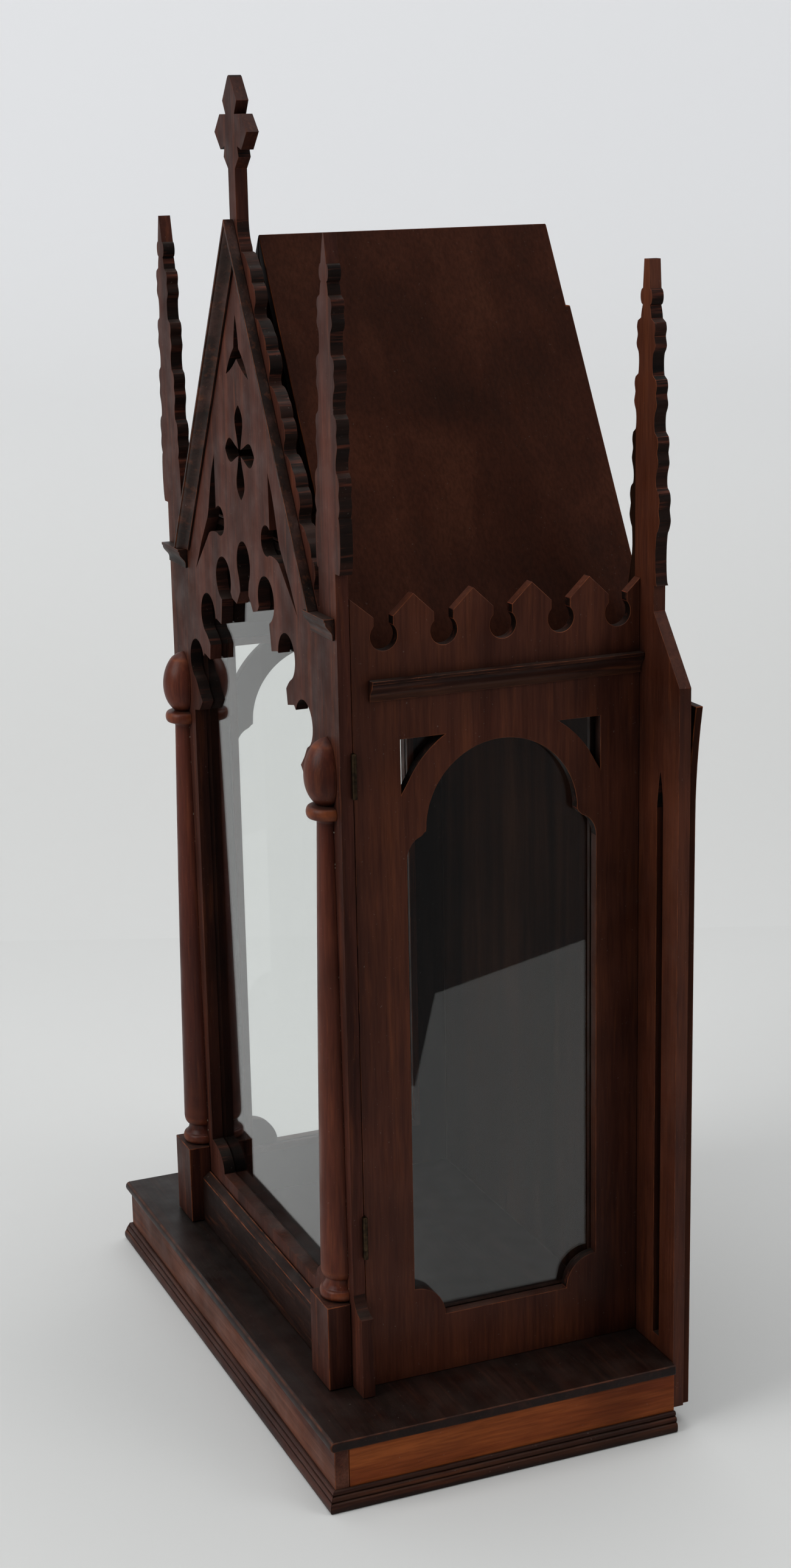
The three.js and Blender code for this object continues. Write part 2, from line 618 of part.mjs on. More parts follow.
// Half of a pinnacle's outline, from its base up to the tip, about its own middle line.
function pinnacleHalf(baseHalf, tipHalf) {
  const lowest = PINNACLE_PAIRS - 1;
  const cuspOf = (pair) => PINNACLE_FIRST_PAIR - pair * PINNACLE_PITCH;
  const lobeOf = (pair) => PINNACLE_LOBE + pair * PINNACLE_LOBE_GROWTH;
  const neckOf = (pair) => PINNACLE_NECK + pair * PINNACLE_NECK_WIDEN;
  const baseTop = cuspOf(lowest) - lobeOf(lowest);
  const points = arc(neckOf(PINNACLE_PAIRS), (PINNACLE_BASE + baseTop) / 2,
    baseHalf - neckOf(PINNACLE_PAIRS), (baseTop - PINNACLE_BASE) / 2, -90, 90, ARC_STEPS + 2);
  for (let pair = lowest; pair >= 0; pair -= 1) {
    const cusp = cuspOf(pair);
    const height = lobeOf(pair);
    const wide = PINNACLE_FIRST_HALF + pair * PINNACLE_WIDEN;
    const waist = wide - PINNACLE_CUSP;
    const low = point(neckOf(pair + 1) + PINNACLE_ROUNDING, cusp - height);
    const high = point(neckOf(pair) + PINNACLE_ROUNDING, cusp + height);
    if (pair < lowest) points.push(low);
    points.push(
      point(wide - PINNACLE_ROUNDING, cusp - height * 0.75),
      point(wide, cusp - height * 0.5),
      point(waist, cusp),
      point(wide - PINNACLE_ROUNDING / 2, cusp + height * 0.4),
      point(wide - PINNACLE_ROUNDING * 2, cusp + height * 0.8),
      high);
    const next = pair ? cuspOf(pair - 1) - lobeOf(pair - 1) : BUD_BOTTOM;
    points.push(point(neckOf(pair), (high.y + next) / 2));
  }
  points.push(...arc(BUD_NECK, (BUD_BOTTOM + BUD_TOP) / 2, BUD_HALF - BUD_NECK,
    (BUD_TOP - BUD_BOTTOM) / 2, -90, 90));
  points.push(point((BUD_NECK + tipHalf) / 2, (BUD_TOP + PINNACLE_TOP) / 2));
  points.push(point(tipHalf, PINNACLE_TOP));
  return points;
}

// Both sides of a pinnacle on the right of the board, leaning outward towards its tip.
function pinnacleSides(x, lean, half, width = 1) {
  const tilt = (p) => point(
    x + p.x * width + (lean * (p.y - PINNACLE_BASE)) / (PINNACLE_TOP - PINNACLE_BASE), p.y);
  return [half.map(tilt), mirrored(half).map(tilt)];
}

function crossHalf() {
  const arm = GABLE_APEX + CROSS_ARM_RISE;
  return [
    point(CROSS_STEM_HALF, arm - CROSS_STEM_DROP),
    point(CROSS_COLLAR_HALF, arm - CROSS_COLLAR_DROP),
    point(CROSS_COLLAR_HALF - CROSS_CHAMFER, arm - CROSS_ARM_HALF + CROSS_CHAMFER),
    point(CROSS_ARM - CROSS_ARM_HALF, arm - CROSS_ARM_HALF),
    point(CROSS_ARM, arm),
    point(CROSS_ARM - CROSS_ARM_HALF, arm + CROSS_ARM_HALF),
    point(CROSS_NOTCH_HALF, arm + CROSS_ARM_HALF),
    point(CROSS_HEAD_HALF, CROSS_TOP - CROSS_HEAD_DROP),
    point(CROSS_CHAMFER, CROSS_TOP - CROSS_CHAMFER / 2),
    point(0, CROSS_TOP),
  ];
}

// A place on the gable: s down the rake from its apex, n outward from its outer line.
function onRake(s, n) {
  return point(0, GABLE_APEX).addScaledVector(RAKE_DOWN, s).addScaledVector(RAKE_OUT, n);
}

// The crocketed edge, from the cross's stem down to the foot of the rake. Each crocket is a
// hollow, an upper lobe and a lower lobe that curls back to the edge.
function crocketOutline() {
  const stem = point(CROSS_STEM_HALF, GABLE_APEX);
  const points = sweep(stem, point(CROSS_STEM_HALF, GABLE_APEX - CROCKET_FIRST / 2),
    onRake(CROCKET_FIRST, CROCKET_BACK));
  for (let i = 0; i < CROCKET_COUNT; i += 1) {
    const at = (along, height) => onRake(
      CROCKET_FIRST + (i + along) * CROCKET_PITCH, height * CROCKET_HEIGHT);
    const back = at(0.34, 0.85);
    const middle = at(0.6, 0.82);
    points.push(...sweep(at(0.06, 0.08), at(0.12, 0.7), back).slice(0, -1));
    points.push(...lobe(back, middle, CROCKET_BACK));
    points.push(...lobe(middle, at(0.94, 0.3), CROCKET_NOSE).slice(1));
    points.push(at(1, 0.08));
  }
  return points;
}

// The opening of the door. Its head has three foils on each side and one at the crown, with
// tongues between them, and stands a little left of the jambs' middle.
function openingOutline() {
  const sill = FLOOR + SILL_HEIGHT;
  const jamb = [
    ...arc(JAMB, sill, BRACKET_WIDTH, BRACKET_HEIGHT, 180, 90),
    point(JAMB, FLOOR + JAMB_TOP),
  ];
  const half = headHalf();
  const head = [...half, ...mirrored(half).slice(1)].map((p) => point(p.x + PIERCING_SHIFT, p.y));
  return [...jamb, ...head, ...mirrored(jamb)];
}

function headHalf() {
  const onArch = (radius, angle) => {
    const turn = THREE.MathUtils.degToRad(angle);
    return point(radius * Math.cos(turn) - ARCH_OFFSET, FLOOR + ARCH_SPRING + radius * Math.sin(turn));
  };
  const tongueTip = (i) => onArch(TONGUE_ARC, TONGUE_FIRST_ANGLE - i * TONGUE_STEP);
  const crown = FLOOR + CROWN_FOIL_HEIGHT;
  const spur = tongueTip(FOILS_PER_SIDE - 1);
  const points = [point(spur.x + SPUR, spur.y - SPUR), spur, point(spur.x + SPUR, spur.y + SPUR)];
  for (let i = FOILS_PER_SIDE - 1; i >= 0; i -= 1) {
    const angle = FOIL_FIRST_ANGLE - i * FOIL_STEP;
    const centre = onArch(FOIL_ARC, angle);
    points.push(...arc(centre.x, centre.y, FOIL_RADIUS, FOIL_RADIUS,
      FOIL_START_ANGLE, FOIL_END_TURN + 2 * angle, FINE_STEPS));
    if (i > 0) {
      const tip = tongueTip(i - 1);
      points.push(point(tip.x + TONGUE_FOOT, tip.y + TONGUE_FOOT_RISE), tip);
      points.push(point(tip.x - TONGUE_LEAN, tip.y + TONGUE_EDGE));
    }
  }
  const tip = point(CROWN_TONGUE_HALF, crown - CROWN_TONGUE_DROP);
  points.push(point(tip.x + CROWN_TONGUE_FOOT, tip.y + TONGUE_FOOT_RISE), tip);
  points.push(point(CROWN_NECK_HALF, crown - CROWN_NECK_DROP));
  points.push(...arc(0, crown, CROWN_FOIL_HALF, FOIL_RADIUS, CROWN_FOIL_START_ANGLE, 90, FINE_STEPS));
  return points;
}

// A three-armed piercing near the gable's apex.
function tridentOutline() {
  const middle = FLOOR + GABLE_APEX - TRIDENT_DROP;
  const half = TRIDENT_HALF;
  const side = [
    point(0, middle - half),
    point(TRIDENT_ARM * 0.45, middle - TRIDENT_ARM * 0.5),
    point(TRIDENT_ARM * 0.93, middle - TRIDENT_ARM * 0.7),
    point(TRIDENT_ARM * 0.62, middle - TRIDENT_ARM * 0.28),
    point(half, middle + half * 0.4),
    point(half * 0.62, middle + TRIDENT_ARM * 0.55),
  ];
  return [...side, point(0, middle + TRIDENT_ARM), ...mirrored(side).slice(0, -1)];
}

function quatrefoilOutline() {
  const points = [];
  const middle = point(0, FLOOR + GABLE_APEX - QUATREFOIL_DROP);
  const petal = (t) => QUATREFOIL_WAIST + (QUATREFOIL_LOBE - QUATREFOIL_WAIST)
    * Math.sin(Math.PI * Math.min(1, t * t * PETAL_FULLNESS)) ** PETAL_ROUNDING;
  for (let arm = 0; arm < 4; arm += 1) {
    const turn = (arm * Math.PI) / 2;
    const along = point(Math.cos(turn), Math.sin(turn));
    const across = point(-along.y, along.x);
    const put = (distance, offset) => points.push(middle.clone()
      .addScaledVector(along, distance).addScaledVector(across, offset));
    const steps = PETAL_STEPS;
    put(QUATREFOIL_WAIST, -QUATREFOIL_WAIST);
    const reach = arm % 2 ? QUATREFOIL_ARM : QUATREFOIL_SIDE_ARM;
    steps.forEach((t) => put(t * reach, -petal(t)));
    put(reach, 0);
    [...steps].reverse().forEach((t) => put(t * reach, petal(t)));
  }
  return points;
}

// A flame-shaped piercing: a round lobe with a tail up and a tail down and outward.
function mouchetteOutline() {
  const x = MOUCHETTE_X;
  const z = FLOOR + GABLE_APEX - MOUCHETTE_DROP;
  const r = MOUCHETTE_LOBE;
  return [
    point(x + 0.6 * r, z + MOUCHETTE_RISE),
    ...arc(x, z, r, r, 50, 300, FINE_STEPS),
    point(x + 2.2 * r, z - 1.1 * r),
    point(x + MOUCHETTE_SPREAD, z - MOUCHETTE_FALL),
    point(x + 4 * r, z - 2 * r),
    point(x + 2.5 * r, z - 0.15 * r),
    point(x + 2.15 * r, z + 0.6 * r),
    point(x + 1.5 * r, z + 2.6 * r),
  ];
}

function facadeOutline() {
  const bottom = FLOOR + DOOR_GAP;
  const w = FACADE_HALF_WIDTH;
  const lift = (points) => points.map((p) => point(p.x, p.y + FLOOR));
  const earTop = FLOOR + EAR_HEIGHT;
  const ear = [
    point(w + EAR_OUT, bottom),
    point(w + EAR_OUT, earTop),
    ...arc(w + EAR_OUT, earTop + EAR_COVE, EAR_OUT, EAR_COVE, -90, -180),
  ];
  const half = pinnacleHalf(PINNACLE_BASE_HALF, PINNACLE_TIP_HALF);
  const pinnacle = pinnacleSides(PINNACLE_X, PINNACLE_LEAN, half).flatMap(lift);
  const seat = FLOOR + RETURN_TOP + RETURN_SEAT;
  const slot = [
    point(PINNACLE_FOOT_INNER, FLOOR + PINNACLE_BASE),
    point(PINNACLE_FOOT_INNER, seat),
    point(PINNACLE_FOOT_INNER - RETURN_SEAT, seat),
  ];
  const crockets = lift(crocketOutline()).reverse();
  const right = [
    ...ear,
    point(w, FLOOR + PINNACLE_BASE),
    ...pinnacle, ...slot, ...crockets, ...lift(crossHalf()),
  ];
  return [...right, ...mirrored(right).slice(1)];
}

function buildFacade() {
  const mouchette = mouchetteOutline();
  const gable = [tridentOutline(), quatrefoilOutline(), mouchette, mirrored(mouchette)];
  const holes = [
    openingOutline(),
    ...gable.map((outline) => outline.map((p) => point(p.x + PIERCING_SHIFT, p.y))),
  ];
  const piercings = holes.map((hole) => frontBoard(hole, -PASS, FRET_BOARD + 2 * PASS));
  const mortises = [HINGE_UPPER, HINGE_LOWER].map((height) => box(
    CASE_HALF_WIDTH - LEAF_WIDTH - GLUE_GAP, FACADE_HALF_WIDTH + PASS,
    DOOR_BACK - LEAF_THICKNESS - GLUE_GAP, DOOR_BACK + PASS,
    FLOOR + height - GLUE_GAP, FLOOR + height + HINGE_LENGTH + GLUE_GAP));
  add('facade', cut(frontBoard(facadeOutline(), 0, FRET_BOARD), [...piercings, ...mortises]), WOOD_FACE);

  const half = JAMB + 2 * BEAD;
  const low = FLOOR + SILL_HEIGHT - 2 * BEAD;
  const high = FLOOR + CROWN_FOIL_HEIGHT + FOIL_RADIUS + BEAD;
  const pane = DOOR_BACK + GLUE_GAP;
  add('door_glass', box(-half, half, pane, pane + GLASS, low, high), CLEAR_GLASS);
  add('door_glass_bead', frontBoard(rectangle(-half, half, low, high), pane + GLASS + GLUE_GAP,
    BEAD_DEPTH, [rectangle(-half + BEAD, half - BEAD, low + BEAD, high - BEAD)]), WOOD_DARK);
}

function buildRakes() {
  const profile = cymaProfile();
  const face = -GLUE_GAP;
  const apex = FLOOR + GABLE_APEX;
  const foot = FLOOR + RETURN_TOP + GLUE_GAP;
  addPair('rake', mitredBar(profile, (p, end) => {
    const outer = apex + p.y / RAKE_OUT.y; // where this line of the moulding meets x = 0
    const x = end ? (outer - foot) / GABLE_SLOPE : GLUE_GAP / 2;
    return new THREE.Vector3(x, face - p.x, end ? foot : outer - GABLE_SLOPE * x);
  }), WOOD_DARK);
  addPair('rake_return', mitredBar(profile, (p, end) => new THREE.Vector3(
    FACADE_HALF_WIDTH - (end ? RETURN_OUTER_INSET : RETURN_INNER_INSET),
    face - p.x, FLOOR + RETURN_TOP + p.y)), WOOD_DARK);
}

// Radius and height of each ring of a column's turning, from the block up to the egg's tip.
function columnProfile() {
  const start = FLOOR + BLOCK_TOP + GLUE_GAP;
  const torusTop = start + TORUS_HEIGHT;
  const shaftBottom = FLOOR + SHAFT_BOTTOM;
  const ringTop = FLOOR + EGG_TOP - EGG_HEIGHT;
  const ringBottom = ringTop - RING_HEIGHT;
  const shaftMiddle = (SHAFT_TOP_RADIUS + SHAFT_BOTTOM_RADIUS) / 2 + SHAFT_SWELL;
  return [
    ...bead(TORUS_RADIUS, start, torusTop),
    point(NECK_RADIUS + TURNING_FILLET, torusTop + TURNING_FILLET),
    point(NECK_RADIUS, (torusTop + shaftBottom) / 2),
    ...arc(SHAFT_BOTTOM_RADIUS - SHAFT_CORNER, shaftBottom + SHAFT_ROUNDING,
      SHAFT_CORNER, SHAFT_ROUNDING, -90, 0),
    point(shaftMiddle, (shaftBottom + ringBottom) / 2),
    point(SHAFT_TOP_RADIUS, ringBottom - 2 * TURNING_FILLET),
    point(SHAFT_TOP_RADIUS + TURNING_FILLET, ringBottom),
    ...bead(RING_RADIUS, ringBottom + TURNING_FILLET / 2, ringTop - TURNING_FILLET / 2),
    ...eggProfile(ringTop),
  ];
}

// A turned bead between two heights.
function bead(radius, low, high) {
  return arc(radius - BEAD_BULGE, (low + high) / 2, BEAD_BULGE, (high - low) / 2, -90, 90);
}

// The egg on top of the ring, a little fuller below its middle, with a blunt tip.
function eggProfile(bottom) {
  const points = [];
  for (let i = 0; i <= FINE_STEPS; i += 1) {
    const t = i / FINE_STEPS;
    const across = 1 - (2 * (t + EGG_SEAT)) / (1 + EGG_SEAT);
    const round = Math.sqrt(Math.max(0, 1 - across * across));
    const radius = EGG_RADIUS * round * (1 + EGG_SEAT - EGG_TAPER * t);
    points.push(point(Math.max(EGG_TIP, radius), bottom + EGG_HEIGHT * t));
  }
  return points;
}

function buildColumns() {
  const back = -GLUE_GAP;
  const rings = columnProfile().map((p) => {
    const ring = [];
    for (let i = 0; i <= TURNING_SEGMENTS; i += 1) {
      const angle = Math.PI + (Math.PI * i) / TURNING_SEGMENTS;
      ring.push(new THREE.Vector3(COLUMN_X + p.x * Math.cos(angle), back + p.x * Math.sin(angle), p.y));
    }
    return ring;
  });
  addPair('column', loft(rings), WOOD_FACE);
  addPair('column_block', box(COLUMN_X - BLOCK_HALF, COLUMN_X + BLOCK_HALF, back - BLOCK_HALF, back,
    FLOOR + DOOR_GAP, FLOOR + BLOCK_TOP), WOOD_FACE);

  const railHalf = COLUMN_X - BLOCK_HALF - GLUE_GAP;
  const bottom = FLOOR + DOOR_GAP;
  const top = bottom + RAIL_HEIGHT;
  const section = [
    point(back, bottom), point(back, top + RAIL_CHAMFER),
    point(back - RAIL_EDGE, top + RAIL_CHAMFER),
    point(back - RAIL_PROJECTION, top), point(back - RAIL_PROJECTION, bottom),
  ];
  add('door_rail', sideBoard(section, -railHalf, 2 * railHalf), WOOD_FACE);
}

// The board behind everything, with wings and the two rear pinnacles.
function backOutline() {
  const bottom = MOULDING_HEIGHT + GLUE_GAP;
  const underRoof = FLOOR + ROOF_RIDGE - ROOF_DROP - GLUE_GAP * 2;
  const lowered = (points) => points.map((p) => point(p.x, p.y + FLOOR - REAR_PINNACLE_DROP));
  const [outer, innerSide] = pinnacleSides(REAR_PINNACLE_X, REAR_PINNACLE_LEAN,
    pinnacleHalf(REAR_PINNACLE_BASE_HALF, REAR_PINNACLE_TIP_HALF), REAR_PINNACLE_WIDTH).map(lowered);
  const base = FLOOR + PINNACLE_BASE - REAR_PINNACLE_DROP;
  const right = [
    point(WING_HALF_WIDTH, bottom),
    point(WING_HALF_WIDTH, FLOOR + WING_SHOULDER),
    point(REAR_FOOT_OUTER, FLOOR + WING_TOP),
    point(REAR_FOOT_OUTER, base),
    ...outer,
    ...innerSide.filter((p) => p.y > base + 3 * PINNACLE_LOBE),
    ...sweep(point(REAR_FOOT_INNER + REAR_FOOT_SPLAY, base + PINNACLE_PITCH / 2),
      point(REAR_FOOT_INNER, base), point(REAR_EAVE, base - PINNACLE_LOBE)),
    point(REAR_EAVE, underRoof - GABLE_SLOPE * REAR_EAVE),
    point(0, underRoof),
  ];
  return [...right, ...mirrored(right).slice(1)];
}

function lancetOutline() {
  const low = FLOOR + LANCET_BOTTOM;
  const high = FLOOR + LANCET_TOP;
  return [
    point(LANCET_X - LANCET_HALF, low), point(LANCET_X + LANCET_HALF, low),
    point(LANCET_X + LANCET_HALF, high - 6 * LANCET_HALF),
    point(LANCET_X + LANCET_HALF * 0.6, high - 2.5 * LANCET_HALF),
    point(LANCET_X, high),
    point(LANCET_X - LANCET_HALF * 0.6, high - 2.5 * LANCET_HALF),
    point(LANCET_X - LANCET_HALF, high - 6 * LANCET_HALF),
  ];
}

function buildBack() {
  const slots = [lancetOutline(), mirrored(lancetOutline())]
    .map((slot) => frontBoard(slot, BACK_FACE - PASS, FRET_BOARD + 2 * PASS));
  add('back_board', cut(frontBoard(backOutline(), BACK_FACE, FRET_BOARD), slots), WOOD_FACE);

  const bottom = MOULDING_HEIGHT + GLUE_GAP;
  const top = FLOOR + BACK_PANEL_TOP;
  const start = top - BACK_PANEL_SPRUNG;
  const sprung = [];
  for (let i = 1; i <= ARC_STEPS; i += 1) {
    const t = i / ARC_STEPS;
    sprung.push(point(PANEL_FACE + BACK_PANEL_SPRING * t * t, start + BACK_PANEL_SPRUNG * t));
  }
  const rear = [...sprung].reverse().map((p) => point(p.x + BACK_PANEL, p.y));
  const section = [
    point(PANEL_FACE + BACK_PANEL, bottom), point(PANEL_FACE, bottom), point(PANEL_FACE, start),
    ...sprung, ...rear, point(PANEL_FACE + BACK_PANEL, start),
  ].reverse();
  const half = WING_HALF_WIDTH - BACK_PANEL_INSET;
  add('back_panel', sideBoard(section, -half, 2 * half), WOOD_DARK);
}

// Two boards that meet at the ridge. Beside the rear pinnacles they stop at the back board.
function buildRoof() {
  const ridge = FLOOR + ROOF_RIDGE;
  const eave = WALL_INNER - GLUE_GAP;
  const seam = GLUE_GAP / 2;
  const section = [
    point(seam, ridge - ROOF_DROP - GABLE_SLOPE * seam),
    point(eave, ridge - ROOF_DROP - GABLE_SLOPE * eave),
    point(eave, ridge - GABLE_SLOPE * eave),
    point(seam, ridge - GABLE_SLOPE * seam),
  ];
  const rear = BACK_FACE + FRET_BOARD + ROOF_OVERHANG;
  const plain = frontBoard(section, ROOF_FRONT, rear - ROOF_FRONT);
  const notch = box(REAR_EAVE - 2 * GLUE_GAP, CASE_HALF_WIDTH, WALL_BACK, rear + PASS, FLOOR, ridge);
  const step = box(-PASS, eave, rear - ROOF_STEP, rear + PASS, FLOOR + ROOF_STEP_HEIGHT, ridge + PASS);
  addPair('roof', cut(plain, [notch, step]), WOOD_DARK);
}

function buildHinges() {
  for (const [place, height] of [['upper', HINGE_UPPER], ['lower', HINGE_LOWER]]) {
    const low = FLOOR + height;
    const high = low + HINGE_LENGTH;
    const inner = CASE_HALF_WIDTH - LEAF_WIDTH;
    add(`hinge_${place}_case_leaf`, box(inner, CASE_HALF_WIDTH, WALL_FRONT + GLUE_GAP / 2,
      WALL_FRONT + GLUE_GAP / 2 + LEAF_THICKNESS, low, high), BRASS);
    const leaf = [
      point(inner, DOOR_BACK - GLUE_GAP / 2 - LEAF_THICKNESS),
      point(HINGE_X, DOOR_BACK - GLUE_GAP / 2 - LEAF_THICKNESS),
      ...arc(HINGE_X, HINGE_Y, KNUCKLE_RADIUS, KNUCKLE_RADIUS,
        KNUCKLE_START_ANGLE, KNUCKLE_END_ANGLE, FINE_STEPS),
      point(FACADE_HALF_WIDTH, DOOR_BACK - GLUE_GAP / 2),
      point(inner, DOOR_BACK - GLUE_GAP / 2),
    ];
    const geometry = new THREE.ExtrudeGeometry(new THREE.Shape(leaf),
      { depth: HINGE_LENGTH, bevelEnabled: false });
    geometry.translate(0, 0, low);
    add(`hinge_${place}_door_leaf`, geometry, BRASS);
  }
}

buildPlinth();
buildSides();
buildBack();
buildRoof();
buildFacade();
buildRakes();
buildColumns();
buildHinges();

export default shrine;
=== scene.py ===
"""A wooden house shrine in dark, worn varnish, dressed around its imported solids.

The boards, turnings and mouldings are made again in the places of their solids, with smoother outlines, rounded
and rubbed arrises and finer profiles. Every finish is procedural. Sizes are in metres unless a name says mm.
"""

import logging
import math
import random
from dataclasses import dataclass, replace
from enum import Enum

import bmesh
import bpy
from mathutils import Matrix, Vector


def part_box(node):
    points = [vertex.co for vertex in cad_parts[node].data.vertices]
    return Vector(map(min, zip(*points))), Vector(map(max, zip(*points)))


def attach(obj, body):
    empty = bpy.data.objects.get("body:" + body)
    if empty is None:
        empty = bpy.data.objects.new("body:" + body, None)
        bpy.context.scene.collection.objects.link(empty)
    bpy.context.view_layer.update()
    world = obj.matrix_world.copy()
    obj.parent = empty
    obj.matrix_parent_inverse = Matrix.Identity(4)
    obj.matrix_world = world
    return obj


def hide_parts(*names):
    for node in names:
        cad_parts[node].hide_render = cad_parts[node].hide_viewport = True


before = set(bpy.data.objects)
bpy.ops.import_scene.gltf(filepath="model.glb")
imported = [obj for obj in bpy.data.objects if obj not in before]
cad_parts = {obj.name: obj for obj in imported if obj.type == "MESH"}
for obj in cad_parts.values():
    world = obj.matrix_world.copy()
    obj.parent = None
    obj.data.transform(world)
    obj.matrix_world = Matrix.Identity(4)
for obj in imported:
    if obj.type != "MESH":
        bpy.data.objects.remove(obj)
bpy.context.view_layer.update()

MM = 0.001
LOG = logging.getLogger("shrine")
logging.basicConfig(level=logging.INFO, format="%(name)s: %(message)s")

PHOTO_WIDTH, PHOTO_HEIGHT = 1300, 2576
SENSOR_MM = 36.0
WELD = 0.01 * MM  # corners closer than this are one corner
CUT_REACH = WELD / 10  # a cut this close to a corner passes through it
FLAT_DEGREES = 0.3  # facets that differ by less are one face
PROFILE_SHARP_DEGREES = 48.0  # on a moulding only a bend past this is an arris, the rest is its curve
LOPSIDED = 5.0  # a stretch this much longer than the next one isn't bent by it
EDGE_ON = 0.2  # a face whose normal has less than this of a direction lies along that direction
SQUARE_ON = 0.9  # a face whose normal has more than this of a direction faces it
ROOM_HALF_WIDTH = 207.7 * MM  # the room behind the glass, just past its own faces
ROOM_FRONT, ROOM_BACK = -110.7 * MM, 153.8 * MM
ROOM_MIDDLE = 20.0 * MM  # where along Y the room's middle is
ROOM_TOP = 900.0 * MM
SAWN_FACET = 0.00013  # square metres: one facet of a sawn curve is smaller
ROOM_FACE = 0.0004  # square metres: the wide faces are larger, the arrises smaller
RUB = "rub"  # the point attribute that says how far the varnish is rubbed away
SIDES = ("right", "left")
COLOUR_A, COLOUR_B, COLOUR_OUT = 6, 7, 2  # the sockets of a Mix node that mixes colours


class Grain(Enum):
    """Which way a piece's grain runs: the pattern is drawn out along the axis with the small number."""

    UPRIGHT = (1.0, 1.0, 0.06)
    ALONG_X = (0.06, 1.0, 1.0)
    ALONG_Y = (1.0, 0.06, 1.0)


class Form(Enum):
    """How a piece was cut, which says where its curved outline lies."""

    PLAIN = "squared up, with no curve to smooth"
    FRET = "fret-cut from a board, with its outline across the thickness"
    BAR = "run to a profile along its length"


def linear(hex_colour: str) -> tuple[float, float, float, float]:
    """Turn an sRGB hex colour to the linear values that a shader takes.

    Args:
        hex_colour: six hex digits.

    Returns:
        Red, green, blue and an alpha of one.
    """
    channels = [int(hex_colour[i : i + 2], 16) / 255 for i in (0, 2, 4)]
    # The numbers are those of the sRGB curve itself.
    red, green, blue = [c / 12.92 if c <= 0.04045 else ((c + 0.055) / 1.055) ** 2.4 for c in channels]
    return (red, green, blue, 1.0)


def add_node(
    tree: bpy.types.NodeTree,
    kind: str,
    settings: dict[str | int, object] | None = None,
    links: dict[str | int, bpy.types.NodeSocket] | None = None,
) -> bpy.types.Node:
    """Add one shader node with its settings and links.

    Args:
        tree: the node tree that takes the node.
        kind: the node's Blender type name, without the leading "ShaderNode".
        settings: attributes by name, input values by "in:NAME" or by number (a hex string is a colour),
            and a colour ramp's places and colours by "stops".
        links: output sockets by the name or number of the input that they feed.

    Returns:
        The new node.
    """
    node = tree.nodes.new("ShaderNode" + kind)
    for name, value in (settings or {}).items():
        if name == "stops":
            elements = node.color_ramp.elements
            while len(elements) < len(value):
                elements.new(0.5)
            for element, (place, colour) in zip(elements, value):
                element.position = place
                element.color = linear(colour)
        elif isinstance(name, int) or name.startswith("in:"):
            key = name if isinstance(name, int) else name.removeprefix("in:")
            node.inputs[key].default_value = linear(value) if isinstance(value, str) else value
        else:
            setattr(node, name, value)
    for key, socket in (links or {}).items():
        tree.links.new(socket, node.inputs[key])
    return node


def new_material(name: str, **values: float | str) -> tuple[bpy.types.Material, bpy.types.NodeTree, bpy.types.Node]:
    """Make a material with only a Principled shader.

    Args:
        name: the material's name.
        values: the shader's plain values, by input name with underscores for spaces.

    Returns:
        The material, its node tree and the shader.
    """
    material = bpy.data.materials.new(name)
    material.use_nodes = True
    tree = material.node_tree
    tree.nodes.clear()
    settings = {"in:" + key.replace("_", " "): value for key, value in values.items()}
    shader = add_node(tree, "BsdfPrincipled", settings)
    add_node(tree, "OutputMaterial", links={"Surface": shader.outputs[0]})
    return material, tree, shader


